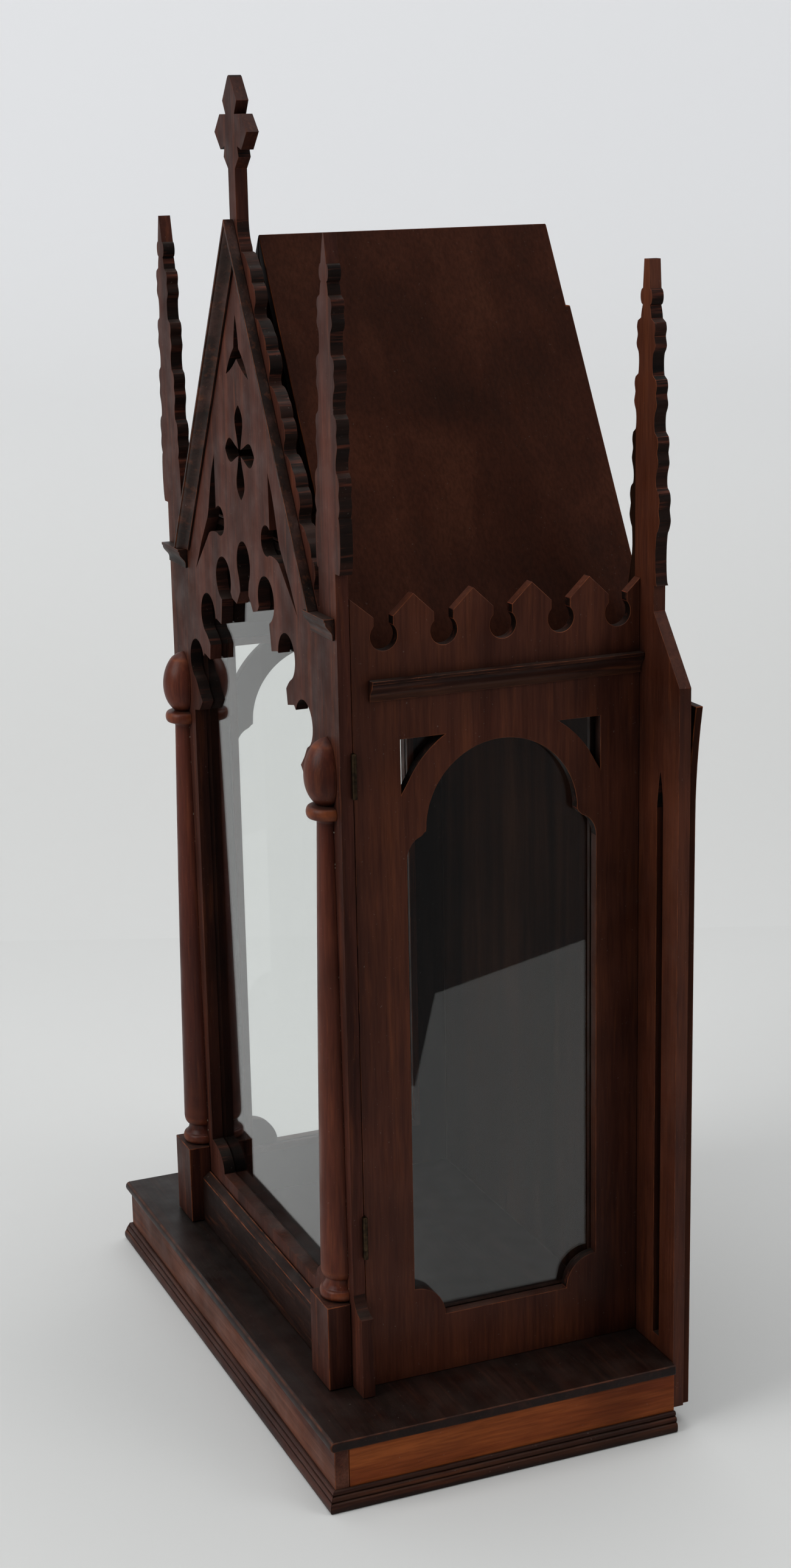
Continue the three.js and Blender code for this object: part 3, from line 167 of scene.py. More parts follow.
@dataclass(frozen=True)
class VarnishedWood:
    """Mahogany-like hardwood, planed and fret-cut by hand, under a thin dark spirit varnish gone dull.

    The eye gets a deep red-brown ground with long soft streaks of figure, short dark pores along the grain, a
    hazy satin sheen, pale dust on what faces up, orange wood where hands have rubbed the arrises bare,
    and painted shade in the corners.
    """

    name: str
    dark: str
    middle: str
    light: str
    rubbed: str = "8a4a28"  # bare wood under worn varnish
    grain: Grain = Grain.UPRIGHT
    streak_mm: float = 26.0  # width of one streak of figure
    tone: str = "b4aeaa"  # how dark the varnish goes where it lies thick
    fibre_mm: float = 2.6  # real fibres are about 0.3 mm wide, drawn coarser so that they show
    pore_mm: float = 1.5  # real pores are about 0.2 mm wide, drawn coarser so that they show
    roughness: float = 0.5
    sheen_level: float = 0.2  # old varnish is crazed and gives back much less than new
    coat: float = 0.05
    scuffs: float = 0.1  # share of the varnish gone in streaks along the grain
    arris_wear: float = 0.8
    dust: float = 0.15
    film: float = 0.1  # share of grey on what faces up
    corner_shade: float = 0.8  # how dark the painted shade in the corners is
    corner_shade_reach_mm: float = 24.0
    bump_mm: float = 0.12
    figure_stops: tuple[float, float, float] = (0.3, 0.5, 0.72)  # noise of the dark, middle and light wood
    thick_mm: float = 150.0  # how far the varnish's thick places lie apart
    thickness: float = 0.9  # how much of their tone shows
    fibre_tint: str = "d2cdca"
    fibre_share: float = 0.85
    pore_share: float = 0.3
    scuff_mm: float = 7.0  # width of one scuff
    scuff_edge: tuple[float, float] = (0.54, 0.72)  # noise where a scuff starts, and where it is whole
    hand_mm: float = 16.0  # how far the rubbed places along an arris lie apart
    hand_edge: tuple[float, float] = (0.38, 0.62)
    untouched: float = 0.05  # how bare an arris is where no hand reaches
    # the colour of the painted shade in the corners
    corner_shade_colour: str = "0a0706"
    corner_shade_edge: tuple[float, float] = (0.2, 0.72)  # share of open air where the painted shade is full, and where it ends
    speck_mm: float = 2.4  # real specks are about 0.5 mm wide, drawn coarser so that they show
    speck_colour: str = "a39a90"
    speck_edge: tuple[float, float] = (0.7, 0.77)
    film_mm: float = 22.0  # how far the dust's clouds lie apart
    film_colour: str = "6f6a62"
    film_slope: tuple[float, float] = (0.55, 1.0)  # how far a face looks up where dust starts to lie, and lies in full
    haze_mm: float = 30.0  # how far the varnish's dull places lie apart
    haze: tuple[float, float] = (-0.1, 0.14)  # how much smoother and rougher than its roughness the varnish goes

    def make(self) -> bpy.types.Material:
        """Build the material.

        Returns:
            The finished material.
        """
        material, tree, shader = new_material(
            self.name,
            IOR=1.5,
            Specular_IOR_Level=self.sheen_level,
            Coat_Weight=self.coat,
            Coat_Roughness=0.25,
        )
        place = add_node(tree, "TexCoord").outputs["Object"]
        drawn = add_node(tree, "Mapping", {"in:Scale": self.grain.value}, {"Vector": place}).outputs[0]
        ground, fibres = self._figure(tree, place, drawn)
        ground = self._wear(tree, place, drawn, ground)
        # painted shade in the corners and creases, from how little open air each point sees
        ground = self._corner_shade(tree, ground)
        ground = self._dust(tree, place, ground)
        tree.links.new(ground, shader.inputs["Base Color"])
        self._surface(tree, place, fibres, shader)
        return material

    def _figure(
        self, tree: bpy.types.NodeTree, place: bpy.types.NodeSocket, drawn: bpy.types.NodeSocket
    ) -> tuple[bpy.types.NodeSocket, bpy.types.NodeSocket]:
        """Draw the wood's figure, fibres and pores.

        Args:
            tree: the material's nodes.
            place: plain coordinates.
            drawn: coordinates drawn out along the grain.

        Returns:
            The wood's colour, and the fibres' height.
        """
        streaks = add_node(
            tree,
            "TexNoise",
            {"in:Scale": 1 / (self.streak_mm * MM), "in:Detail": 5.0, "in:Roughness": 0.6, "in:Distortion": 0.5},
            {"Vector": drawn},
        ).outputs[0]
        colour = add_node(
            tree,
            "ValToRGB",
            {"stops": list(zip(self.figure_stops, (self.dark, self.middle, self.light)))},
            {"Fac": streaks},
        ).outputs[0]
        broad = add_node(
            tree, "TexNoise", {"in:Scale": 1 / (self.thick_mm * MM), "in:Detail": 2.0}, {"Vector": place}
        ).outputs[0]
        shade = add_node(tree, "ValToRGB", {"stops": [(0.3, self.tone), (0.7, "ffffff")]}, {"Fac": broad})
        colour = add_node(
            tree,
            "Mix",
            {"data_type": "RGBA", "blend_type": "MULTIPLY", "in:Factor": self.thickness},
            {COLOUR_A: colour, COLOUR_B: shade.outputs[0]},
        ).outputs[COLOUR_OUT]
        fibres = add_node(
            tree,
            "TexNoise",
            {"in:Scale": 1 / (self.fibre_mm * MM), "in:Detail": 3.0, "in:Roughness": 0.65},
            {"Vector": drawn},
        ).outputs[0]
        tint = add_node(tree, "ValToRGB", {"stops": [(0.34, self.fibre_tint), (0.62, "ffffff")]}, {"Fac": fibres})
        colour = add_node(
            tree,
            "Mix",
            {"data_type": "RGBA", "blend_type": "MULTIPLY", "in:Factor": self.fibre_share},
            {COLOUR_A: colour, COLOUR_B: tint.outputs[0]},
        ).outputs[COLOUR_OUT]
        pores = add_node(
            tree, "TexNoise", {"in:Scale": 1 / (self.pore_mm * MM), "in:Detail": 2.0}, {"Vector": drawn}
        )
        share = add_node(
            tree,
            "MapRange",
            {"in:From Min": 0.4, "in:From Max": 0.3, "in:To Min": 0.0, "in:To Max": self.pore_share},
            {"Value": pores.outputs[0]},
        ).outputs[0]
        colour = add_node(
            tree, "Mix", {"data_type": "RGBA", COLOUR_B: self.dark}, {"Factor": share, COLOUR_A: colour}
        ).outputs[COLOUR_OUT]
        return colour, fibres

    def _wear(
        self,
        tree: bpy.types.NodeTree,
        place: bpy.types.NodeSocket,
        drawn: bpy.types.NodeSocket,
        ground: bpy.types.NodeSocket,
    ) -> bpy.types.NodeSocket:
        """Rub the varnish away in streaks and along the arrises.

        Args:
            tree: the material's nodes.
            place: plain coordinates.
            drawn: coordinates drawn out along the grain.
            ground: the colour so far.

        Returns:
            The worn colour.
        """
        scuffed = add_node(
            tree,
            "TexNoise",
            {"in:Scale": 1 / (self.scuff_mm * MM), "in:Detail": 4.0, "in:Roughness": 0.7},
            {"Vector": drawn},
        ).outputs[0]
        starts, whole = self.scuff_edge
        share = add_node(
            tree,
            "MapRange",
            {"in:From Min": starts, "in:From Max": whole, "in:To Min": 0.0, "in:To Max": self.scuffs * 2},
            {"Value": scuffed},
        ).outputs[0]
        ground = add_node(
            tree, "Mix", {"data_type": "RGBA", COLOUR_B: self.rubbed}, {"Factor": share, COLOUR_A: ground}
        ).outputs[COLOUR_OUT]
        handled = add_node(
            tree, "TexNoise", {"in:Scale": 1 / (self.hand_mm * MM), "in:Detail": 4.0}, {"Vector": place}
        ).outputs[0]
        starts, whole = self.hand_edge
        patches = add_node(
            tree,
            "MapRange",
            {
                "in:From Min": starts,
                "in:From Max": whole,
                "in:To Min": self.untouched,
                "in:To Max": self.arris_wear,
            },
            {"Value": handled},
        ).outputs[0]
        arris = add_node(tree, "Attribute", {"attribute_name": RUB}).outputs["Fac"]
        bare = add_node(tree, "Math", {"operation": "MULTIPLY"}, {0: patches, 1: arris}).outputs[0]
        return add_node(
            tree, "Mix", {"data_type": "RGBA", COLOUR_B: self.rubbed}, {"Factor": bare, COLOUR_A: ground}
        ).outputs[COLOUR_OUT]

    def _corner_shade(self, tree: bpy.types.NodeTree, ground: bpy.types.NodeSocket) -> bpy.types.NodeSocket:
        """Paint shade into the corners and creases, darkest where a point sees least open air.

        Args:
            tree: the material's nodes.
            ground: the colour so far.

        Returns:
            The colour with its painted shade in the corners.
        """
        if self.corner_shade <= 0:
            return ground
        open_air = add_node(
            tree, "AmbientOcclusion", {"samples": 5, "in:Distance": self.corner_shade_reach_mm * MM}
        ).outputs["AO"]
        full, ends = self.corner_shade_edge
        share = add_node(
            tree,
            "MapRange",
            {"in:From Min": full, "in:From Max": ends, "in:To Min": self.corner_shade, "in:To Max": 0.0},
            {"Value": open_air},
        ).outputs[0]
        return add_node(
            tree, "Mix", {"data_type": "RGBA", COLOUR_B: self.corner_shade_colour}, {"Factor": share, COLOUR_A: ground}
        ).outputs[COLOUR_OUT]

    def _dust(
        self, tree: bpy.types.NodeTree, place: bpy.types.NodeSocket, ground: bpy.types.NodeSocket
    ) -> bpy.types.NodeSocket:
        """Lay pale specks on the wood and a film of dust on what faces up.

        Args:
            tree: the material's nodes.
            place: plain coordinates.
            ground: the colour so far.

        Returns:
            The dusty colour.
        """
        specks = add_node(
            tree, "TexNoise", {"in:Scale": 1 / (self.speck_mm * MM), "in:Detail": 3.0}, {"Vector": place}
        ).outputs[0]
        starts, whole = self.speck_edge
        share = add_node(
            tree,
            "MapRange",
            {"in:From Min": starts, "in:From Max": whole, "in:To Min": 0.0, "in:To Max": self.dust},
            {"Value": specks},
        ).outputs[0]
        ground = add_node(
            tree, "Mix", {"data_type": "RGBA", COLOUR_B: self.speck_colour}, {"Factor": share, COLOUR_A: ground}
        ).outputs[COLOUR_OUT]
        facing = add_node(tree, "NewGeometry").outputs["Normal"]
        up = add_node(tree, "SeparateXYZ", links={0: facing}).outputs["Z"]
        starts, whole = self.film_slope
        film = add_node(
            tree,
            "MapRange",
            {"in:From Min": starts, "in:From Max": whole, "in:To Min": 0.0, "in:To Max": 1.0},
            {"Value": up},
        ).outputs[0]
        cloud = add_node(
            tree, "TexNoise", {"in:Scale": 1 / (self.film_mm * MM), "in:Detail": 5.0}, {"Vector": place}
        ).outputs[0]
        uneven = add_node(
            tree,
            "MapRange",
            {"in:From Min": 0.3, "in:From Max": 0.75, "in:To Min": 0.0, "in:To Max": self.film},
            {"Value": cloud},
        ).outputs[0]
        share = add_node(tree, "Math", {"operation": "MULTIPLY"}, {0: film, 1: uneven}).outputs[0]
        return add_node(
            tree, "Mix", {"data_type": "RGBA", COLOUR_B: self.film_colour}, {"Factor": share, COLOUR_A: ground}
        ).outputs[COLOUR_OUT]

    def _surface(
        self,
        tree: bpy.types.NodeTree,
        place: bpy.types.NodeSocket,
        fibres: bpy.types.NodeSocket,
        shader: bpy.types.Node,
    ) -> None:
        """Vary the varnish's haze, and raise the fibres and the brush marks.

        Args:
            tree: the material's nodes.
            place: plain coordinates.
            fibres: the fibres' height.
            shader: the material's shader.
        """
        cloud = add_node(
            tree, "TexNoise", {"in:Scale": 1 / (self.haze_mm * MM), "in:Detail": 4.0}, {"Vector": place}
        ).outputs[0]
        smoother, rougher = (self.roughness + change for change in self.haze)
        haze = add_node(
            tree,
            "MapRange",
            {"in:From Min": 0.3, "in:From Max": 0.7, "in:To Min": smoother, "in:To Max": rougher},
            {"Value": cloud},
        )
        tree.links.new(haze.outputs[0], shader.inputs["Roughness"])
        # The brush marks' clouds count twice as much as the fibres.
        height = add_node(tree, "Math", {"operation": "MULTIPLY_ADD", 1: 2.0}, {0: cloud, 2: fibres})
        relief = add_node(
            tree,
            "Bump",
            {"in:Strength": 1.0, "in:Distance": self.bump_mm * MM},
            {"Height": height.outputs[0]},
        )
        tree.links.new(relief.outputs[0], shader.inputs["Normal"])


@dataclass(frozen=True)
class WindowGlass:
    """Thin drawn sheet glass, clean enough to mirror the room: clear, with a faint grey-green cast."""

    name: str = "sheet_glass"
    cast: str = "fafcfb"
    ior: float = 1.43  # real sheet glass is near 1.5, lowered to mirror the pale studio as faintly as the real pane

    def make(self) -> bpy.types.Material:
        """Build the material from plain values, so that it stays see-through."""
        return new_material(self.name, Base_Color=self.cast, Roughness=0.0, IOR=self.ior, Transmission_Weight=1.0)[0]


@dataclass(frozen=True)
class TarnishedBrass:
    """Stamped sheet brass, gone brown with age: dull, with a little yellow left where it rubs."""

    name: str = "tarnished_brass"
    tarnish: str = "1e150d"
    rubbed: str = "40311f"
    spot_mm: float = 4.0  # how far the rubbed places lie apart
    dull: float = 0.62  # roughness under tarnish
    bright: float = 0.4  # roughness where it is rubbed
    pitting_mm: float = 0.08

    def make(self) -> bpy.types.Material:
        """Build the material.

        Returns:
            The finished material.
        """
        material, tree, shader = new_material(self.name, Metallic=0.85)
        place = add_node(tree, "TexCoord").outputs["Object"]
        spots = add_node(
            tree, "TexNoise", {"in:Scale": 1 / (self.spot_mm * MM), "in:Detail": 4.0}, {"Vector": place}
        ).outputs[0]
        tone = add_node(tree, "ValToRGB", {"stops": [(0.35, self.tarnish), (0.68, self.rubbed)]}, {"Fac": spots})
        tree.links.new(tone.outputs[0], shader.inputs["Base Color"])
        polish = add_node(
            tree,
            "MapRange",
            {"in:From Min": 0.3, "in:From Max": 0.7, "in:To Min": self.dull, "in:To Max": self.bright},
            {"Value": spots},
        )
        tree.links.new(polish.outputs[0], shader.inputs["Roughness"])
        relief = add_node(
            tree, "Bump", {"in:Strength": 0.6, "in:Distance": self.pitting_mm * MM}, {"Height": spots}
        )
        tree.links.new(relief.outputs[0], shader.inputs["Normal"])
        return material


@dataclass(frozen=True)
class DriedGlue:
    """Hide glue squeezed out of a joint and left to dry: pale grey-green, waxy, with dust stuck in it."""

    name: str = "dried_hide_glue"
    dirty: str = "4a4238"
    clean: str = "98917f"
    crust_mm: float = 1.2  # how far the dirty places lie apart
    crust_height_mm: float = 0.1

    def make(self) -> bpy.types.Material:
        """Build the material.

        Returns:
            The finished material.
        """
        material, tree, shader = new_material(self.name, IOR=1.5)
        place = add_node(tree, "TexCoord").outputs["Object"]
        crust = add_node(
            tree, "TexNoise", {"in:Scale": 1 / (self.crust_mm * MM), "in:Detail": 4.0}, {"Vector": place}
        ).outputs[0]
        tone = add_node(tree, "ValToRGB", {"stops": [(0.35, self.dirty), (0.65, self.clean)]}, {"Fac": crust})
        tree.links.new(tone.outputs[0], shader.inputs["Base Color"])
        wax = add_node(
            tree,
            "MapRange",
            {"in:From Min": 0.3, "in:From Max": 0.7, "in:To Min": 0.4, "in:To Max": 0.7},
            {"Value": crust},
        )
        tree.links.new(wax.outputs[0], shader.inputs["Roughness"])
        relief = add_node(
            tree, "Bump", {"in:Strength": 1.0, "in:Distance": self.crust_height_mm * MM}, {"Height": crust}
        )
        tree.links.new(relief.outputs[0], shader.inputs["Normal"])
        return material


Finish = VarnishedWood | WindowGlass | TarnishedBrass | DriedGlue

# The front board: cool red-brown and nearly matt, its old varnish wiped thin.
FRONT_WOOD = VarnishedWood("front_mahogany", "301812", "47261d", "5b3227", sheen_level=0.08, coat=0.0)
# Wide side boards: warmer and redder, with broad streaks and a little more shine.
SIDE_WOOD = VarnishedWood(
    "side_mahogany",
    "431e11",
    "542b1c",
    "673721",
    rubbed="8a4a26",
    streak_mm=34.0,
    tone="a09a98",
    sheen_level=0.12,
    scuffs=0.06,
)
# The faces of the room behind the glass: never varnished, so dead matt, and coloured near black as painted shade for
# the unlit room.
ROOM_SHADE_WOOD = VarnishedWood(
    "room_mahogany_stained",
    "180f0a",
    "291912",
    "38241a",
    roughness=0.85,
    sheen_level=0.0,
    coat=0.0,
    scuffs=0.0,
    corner_shade=0.0,
    bump_mm=0.03,
)
# The roof's slopes: flat dark brown with hardly any figure, dull from light and dust.
ROOF_WOOD = VarnishedWood(
    "roof_mahogany",
    "2c150c",
    "371a0f",
    "432316",
    streak_mm=60.0,
    tone="c8c4c0",
    sheen_level=0.04,
    coat=0.0,
    scuffs=0.0,
    dust=0.08,
)
# The rear board's wings: the sides' wood, with arrises rubbed quite bare.
WING_WOOD = replace(SIDE_WOOD, name="wing_mahogany", arris_wear=1.0)
# The apron's sides are the brightest wood: orange-brown under thin varnish.
PLINTH_SIDE_WOOD = replace(
    SIDE_WOOD,
    name="plinth_side_mahogany",
    dark="4f210d",
    middle="823c19",
    light="a85a2a",
    grain=Grain.ALONG_Y,
    sheen_level=0.08,
)
# The apron's front is greyer, from hands and polish.
PLINTH_FRONT_WOOD = replace(
    FRONT_WOOD, name="plinth_front_mahogany", dark="40201a", middle="5e392c", light="7b5142", grain=Grain.ALONG_X
)
# The top board: near black with old polish, which leaves a soft shine.
PLINTH_TOP_WOOD = VarnishedWood(
    "plinth_top_mahogany",
    "110907",
    "20100c",
    "2c1812",
    grain=Grain.ALONG_X,
    roughness=0.44,
    sheen_level=0.12,
    scuffs=0.02,
    arris_wear=0.3,
    film=0.04,
)
# The turnings: redder and smoother than the boards, as wood polished on a lathe is.
TURNED_WOOD = VarnishedWood(
    "turned_mahogany", "3a1810", "58271a", "6e3924", roughness=0.42, sheen_level=0.16, coat=0.0
)
# The mouldings run along their length, with painted shade in the hollows, and rubbed on the reeds.
MOULDING_X_WOOD = VarnishedWood(
    "moulding_mahogany_front", "2a1511", "422620", "59352a", grain=Grain.ALONG_X, sheen_level=0.1
)
MOULDING_Y_WOOD = VarnishedWood(
    "moulding_mahogany_side", "1f100a", "341a12", "50301f", grain=Grain.ALONG_Y, sheen_level=0.1
)
RAKE_WOOD = replace(MOULDING_X_WOOD, name="rake_mahogany", dark="17100c", middle="2c1c16", light="48302a")
# The fret saw left end grain, which drank the stain: dark and rough, with bare reddish rims.
SAWN_EDGE = VarnishedWood(
    "sawn_mahogany_edge",
    "100b09",
    "21140f",
    "3a1f17",
    rubbed="8a4632",
    grain=Grain.ALONG_Y,
    roughness=0.6,
    sheen_level=0.08,
    coat=0.0,
    scuffs=0.16,
    arris_wear=1.0,
    bump_mm=0.25,
)
# The door's bottom rail: smoky dark brown with hardly any shine.
RAIL_WOOD = VarnishedWood(
    "rail_mahogany", "150b09", "241511", "35221d", grain=Grain.ALONG_X, sheen_level=0.08, coat=0.0
)


class Finishes:
    """Makes each finish once and keeps it."""

    def __init__(self) -> None:
        """Start with none made."""
        self.made: dict[str, bpy.types.Material] = {}

    def get(self, finish: Finish) -> bpy.types.Material:
        """Give a finish's material, making it the first time.

        Args:
            finish: what to make.

        Returns:
            The material.
        """
        if finish.name not in self.made:
            self.made[finish.name] = finish.make()
        return self.made[finish.name]


def halfway(before: Vector | None, start: Vector, end: Vector, after: Vector | None) -> Vector | None:
    """Find where a smooth curve through four points passes between the middle two.

    Args:
        before: the point before, or None at a corner.
        start: where the stretch starts.
        end: where it ends.
        after: the point after, or None at a corner.

    Returns:
        The curve's middle, or None where both ends are corners, so that the stretch is straight.
    """
    reach = (end - start).length
    if before is not None:
        step = (before - start).length
        before = start + (before - start).normalized() * reach if step > reach / LOPSIDED else None
    if after is not None:
        step = (after - end).length
        after = end + (after - end).normalized() * reach if step > reach / LOPSIDED else None
    if before is None and after is None:
        return None
    if before is None:
        return (3 * start + 6 * end - after) / 8
    if after is None:
        return (3 * end + 6 * start - before) / 8
    return (9 * start + 9 * end - before - after) / 16


def turns_softly(before: Vector, here: Vector, after: Vector, corner_degrees: float) -> bool:
    """Say whether an outline bends at a point by less than a corner.

    Args:
        before: the point before.
        here: the point itself.
        after: the point after.
        corner_degrees: the bend from which on it is a corner.

    Returns:
        True for a bend, False for a corner.
    """
    return (here - before).angle(after - here, 0.0) < math.radians(corner_degrees)


def place_piece(
    name: str, mesh: bmesh.types.BMesh, materials: list[bpy.types.Material], body: str
) -> bpy.types.Object:
    """Make a piece of a finished mesh and let it ride on its body.

    Args:
        name: the piece's name.
        mesh: its mesh, which is freed.
        materials: its finishes.
        body: the body that it moves with.

    Returns:
        The piece.
    """
    for face in mesh.faces:
        face.smooth = True
    data = bpy.data.meshes.new(name)
    mesh.to_mesh(data)
    mesh.free()
    for material in materials:
        data.materials.append(material)
    piece = bpy.data.objects.new(name, data)
    bpy.context.scene.collection.objects.link(piece)
    piece.modifiers.new("flat_faces", "WEIGHTED_NORMAL").keep_sharp = True
    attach(piece, body)
    return piece


@dataclass
class Board:
    """A board, block or moulding made again from its solid: outline smoothed, arrises rounded and rubbed."""

    node: str
    finish: VarnishedWood
    slot: str
    body: str = "case"
    form: Form = Form.PLAIN
    arris_mm: float = 0.7
    passes: int = 2  # each one halves the outline's steps
    corner_degrees: float = 33.0  # a bend from here on is a corner of the outline
    straight_mm: float = 30.0  # a longer stretch is straight and stays so
    sharp_degrees: float = 30.0  # an edge from here on is an arris
    inside: VarnishedWood | None = None  # the finish of what faces the room behind the glass, darker as painted shade
    sawn: VarnishedWood | None = None  # the finish of the fret-sawn edges

    def build(self, finishes: Finishes) -> bpy.types.Object:
        """Make the piece and put it in its solid's place.

        Args:
            finishes: where the materials come from.

        Returns:
            The new piece.
        """
        mesh = bmesh.new()
        mesh.from_mesh(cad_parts[self.node].data)
        bmesh.ops.remove_doubles(mesh, verts=mesh.verts, dist=WELD)
        bmesh.ops.dissolve_limit(
            mesh, angle_limit=math.radians(FLAT_DEGREES), verts=mesh.verts, edges=mesh.edges, delimit={"NORMAL"}
        )
        along = self._direction(mesh)
        if self.form is not Form.PLAIN:
            for _ in range(self.passes):
                self._smooth_outline(mesh, along)
        self._round_arrises(mesh)
        materials = [finishes.get(self.finish)]
        if self.sawn:
            self._mark_sawn(mesh, along)
            materials.append(finishes.get(self.sawn))
        if self.inside:
            self._mark_room(mesh, len(materials))
            materials.append(finishes.get(self.inside))
        piece = place_piece("worn_" + self.node, mesh, materials, self.body)
        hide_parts(self.node)
        return piece

    def _mark_sawn(self, mesh: bmesh.types.BMesh, along: Vector) -> None:
        """Give the short facets of the sawn outline the second finish, and leave the long straight edges.

        Args:
            mesh: the mesh to change.
            along: the direction of the board's thickness.
        """
        mesh.normal_update()
        for face in mesh.faces:
            if abs(face.normal.dot(along)) < EDGE_ON and face.calc_area() < SAWN_FACET:
                face.material_index = 1

    def _mark_room(self, mesh: bmesh.types.BMesh, index: int) -> None:
        """Give what faces the room inside the house a finish of its own, darker as painted shade.

        Args:
            mesh: the mesh to change.
            index: the finish's place among the piece's materials.
        """
        for across in (-ROOM_HALF_WIDTH, ROOM_HALF_WIDTH):
            wide = [
                face for face in mesh.faces if face.calc_area() > ROOM_FACE and abs(face.normal.y) > SQUARE_ON
            ]
            rims = dict.fromkeys(edge for face in wide for edge in face.edges)
            bmesh.ops.bisect_plane(
                mesh,
                geom=[*wide, *rims],
                plane_co=(across, 0, 0),
                plane_no=(1, 0, 0),
                dist=CUT_REACH,
            )
        # The cuts leave the faces in an order that differs from run to run, so they are put in one of their own.
        mesh.verts.index_update()
        in_order = sorted(mesh.faces, key=lambda face: sorted(corner.index for corner in face.verts))
        rank = {face: number for number, face in enumerate(in_order)}
        mesh.faces.sort(key=lambda face: rank[face])
        mesh.normal_update()
        for face in mesh.faces:
            middle = face.calc_center_median()
            within = abs(middle.x) < ROOM_HALF_WIDTH and ROOM_FRONT < middle.y < ROOM_BACK
            inward = Vector((0, ROOM_MIDDLE, 0)) - Vector((middle.x, middle.y, 0))
            if within and middle.z < ROOM_TOP and face.calc_area() > ROOM_FACE and face.normal.dot(inward) > 0:
                face.material_index = index

    def _direction(self, mesh: bmesh.types.BMesh) -> Vector:
        """Find the direction in which the outline is carried: a board's thickness or a bar's length.

        Args:
            mesh: the solid's mesh.

        Returns:
            A direction of length one.
        """
        if self.form is Form.FRET:
            return max(mesh.faces, key=lambda face: face.calc_area()).normal.copy()
        longest = max(mesh.edges, key=lambda edge: edge.calc_length())
        return (longest.verts[1].co - longest.verts[0].co).normalized()

    def _smooth_outline(self, mesh: bmesh.types.BMesh, along: Vector) -> None:
        """Halve the steps of the curved outline, setting each new point on the curve through its neighbours.

        Args:
            mesh: the mesh to change.
            along: the direction in which the outline is carried.
        """
        mesh.normal_update()
        ends = {face for face in mesh.faces if abs(face.normal.dot(along)) > EDGE_ON}
        rim = [
            edge
            for edge in mesh.edges
            if len(edge.link_faces) == 2 and len(ends.intersection(edge.link_faces)) == 1
        ]
        neighbours: dict[bmesh.types.BMVert, list[bmesh.types.BMVert]] = {}
        for edge in rim:
            first, second = edge.verts
            neighbours.setdefault(first, []).append(second)
            neighbours.setdefault(second, []).append(first)
        found = []
        for edge in rim:
            if edge.calc_length() > self.straight_mm * MM:
                continue
            start, end = edge.verts
            middle = halfway(
                self._beyond(neighbours, end, start), start.co, end.co, self._beyond(neighbours, start, end)
            )
            if middle is not None:
                found.append((edge, middle))
        new = set()
        for edge, middle in found:
            _, corner = bmesh.utils.edge_split(edge, edge.verts[0], 0.5)
            corner.co = middle
            new.add(corner)
        for face in list(mesh.faces):
            if abs(face.normal.dot(along)) <= EDGE_ON:
                pair = [corner for corner in face.verts if corner in new]
                if len(pair) == 2:
                    bmesh.utils.face_split(face, pair[0], pair[1])

    def _beyond(
        self,
        neighbours: dict[bmesh.types.BMVert, list[bmesh.types.BMVert]],
        come_from: bmesh.types.BMVert,
        here: bmesh.types.BMVert,
    ) -> Vector | None:
        """Find the outline's next point past here, or None at a corner.

        Args:
            neighbours: each outline point's neighbours.
            come_from: the point on the near side.
            here: the point to pass.

        Returns:
            The next point's place, or None.
        """
        others = [corner for corner in neighbours[here] if corner is not come_from]
        if len(others) != 1:
            return None
        soft = turns_softly(come_from.co, here.co, others[0].co, self.corner_degrees)
        return others[0].co.copy() if soft else None

    def _round_arrises(self, mesh: bmesh.types.BMesh) -> None:
        """Round every sharp edge, and say by the rub attribute where hands reach it.

        Args:
            mesh: the mesh to change.
        """
        limit = math.radians(self.sharp_degrees)
        sharp = [edge for edge in mesh.edges if edge.is_manifold and edge.calc_face_angle(0.0) > limit]
        rounded = bmesh.ops.bevel(
            mesh,
            geom=sharp,
            offset=self.arris_mm * MM,
            segments=2,
            profile=0.5,
            affect="EDGES",
            clamp_overlap=True,
        )
        arris = set(rounded["faces"])
        rub = mesh.verts.layers.float.new(RUB)
        for corner in mesh.verts:
            corner[rub] = 1.0 if corner.link_faces and all(face in arris for face in corner.link_faces) else 0.0


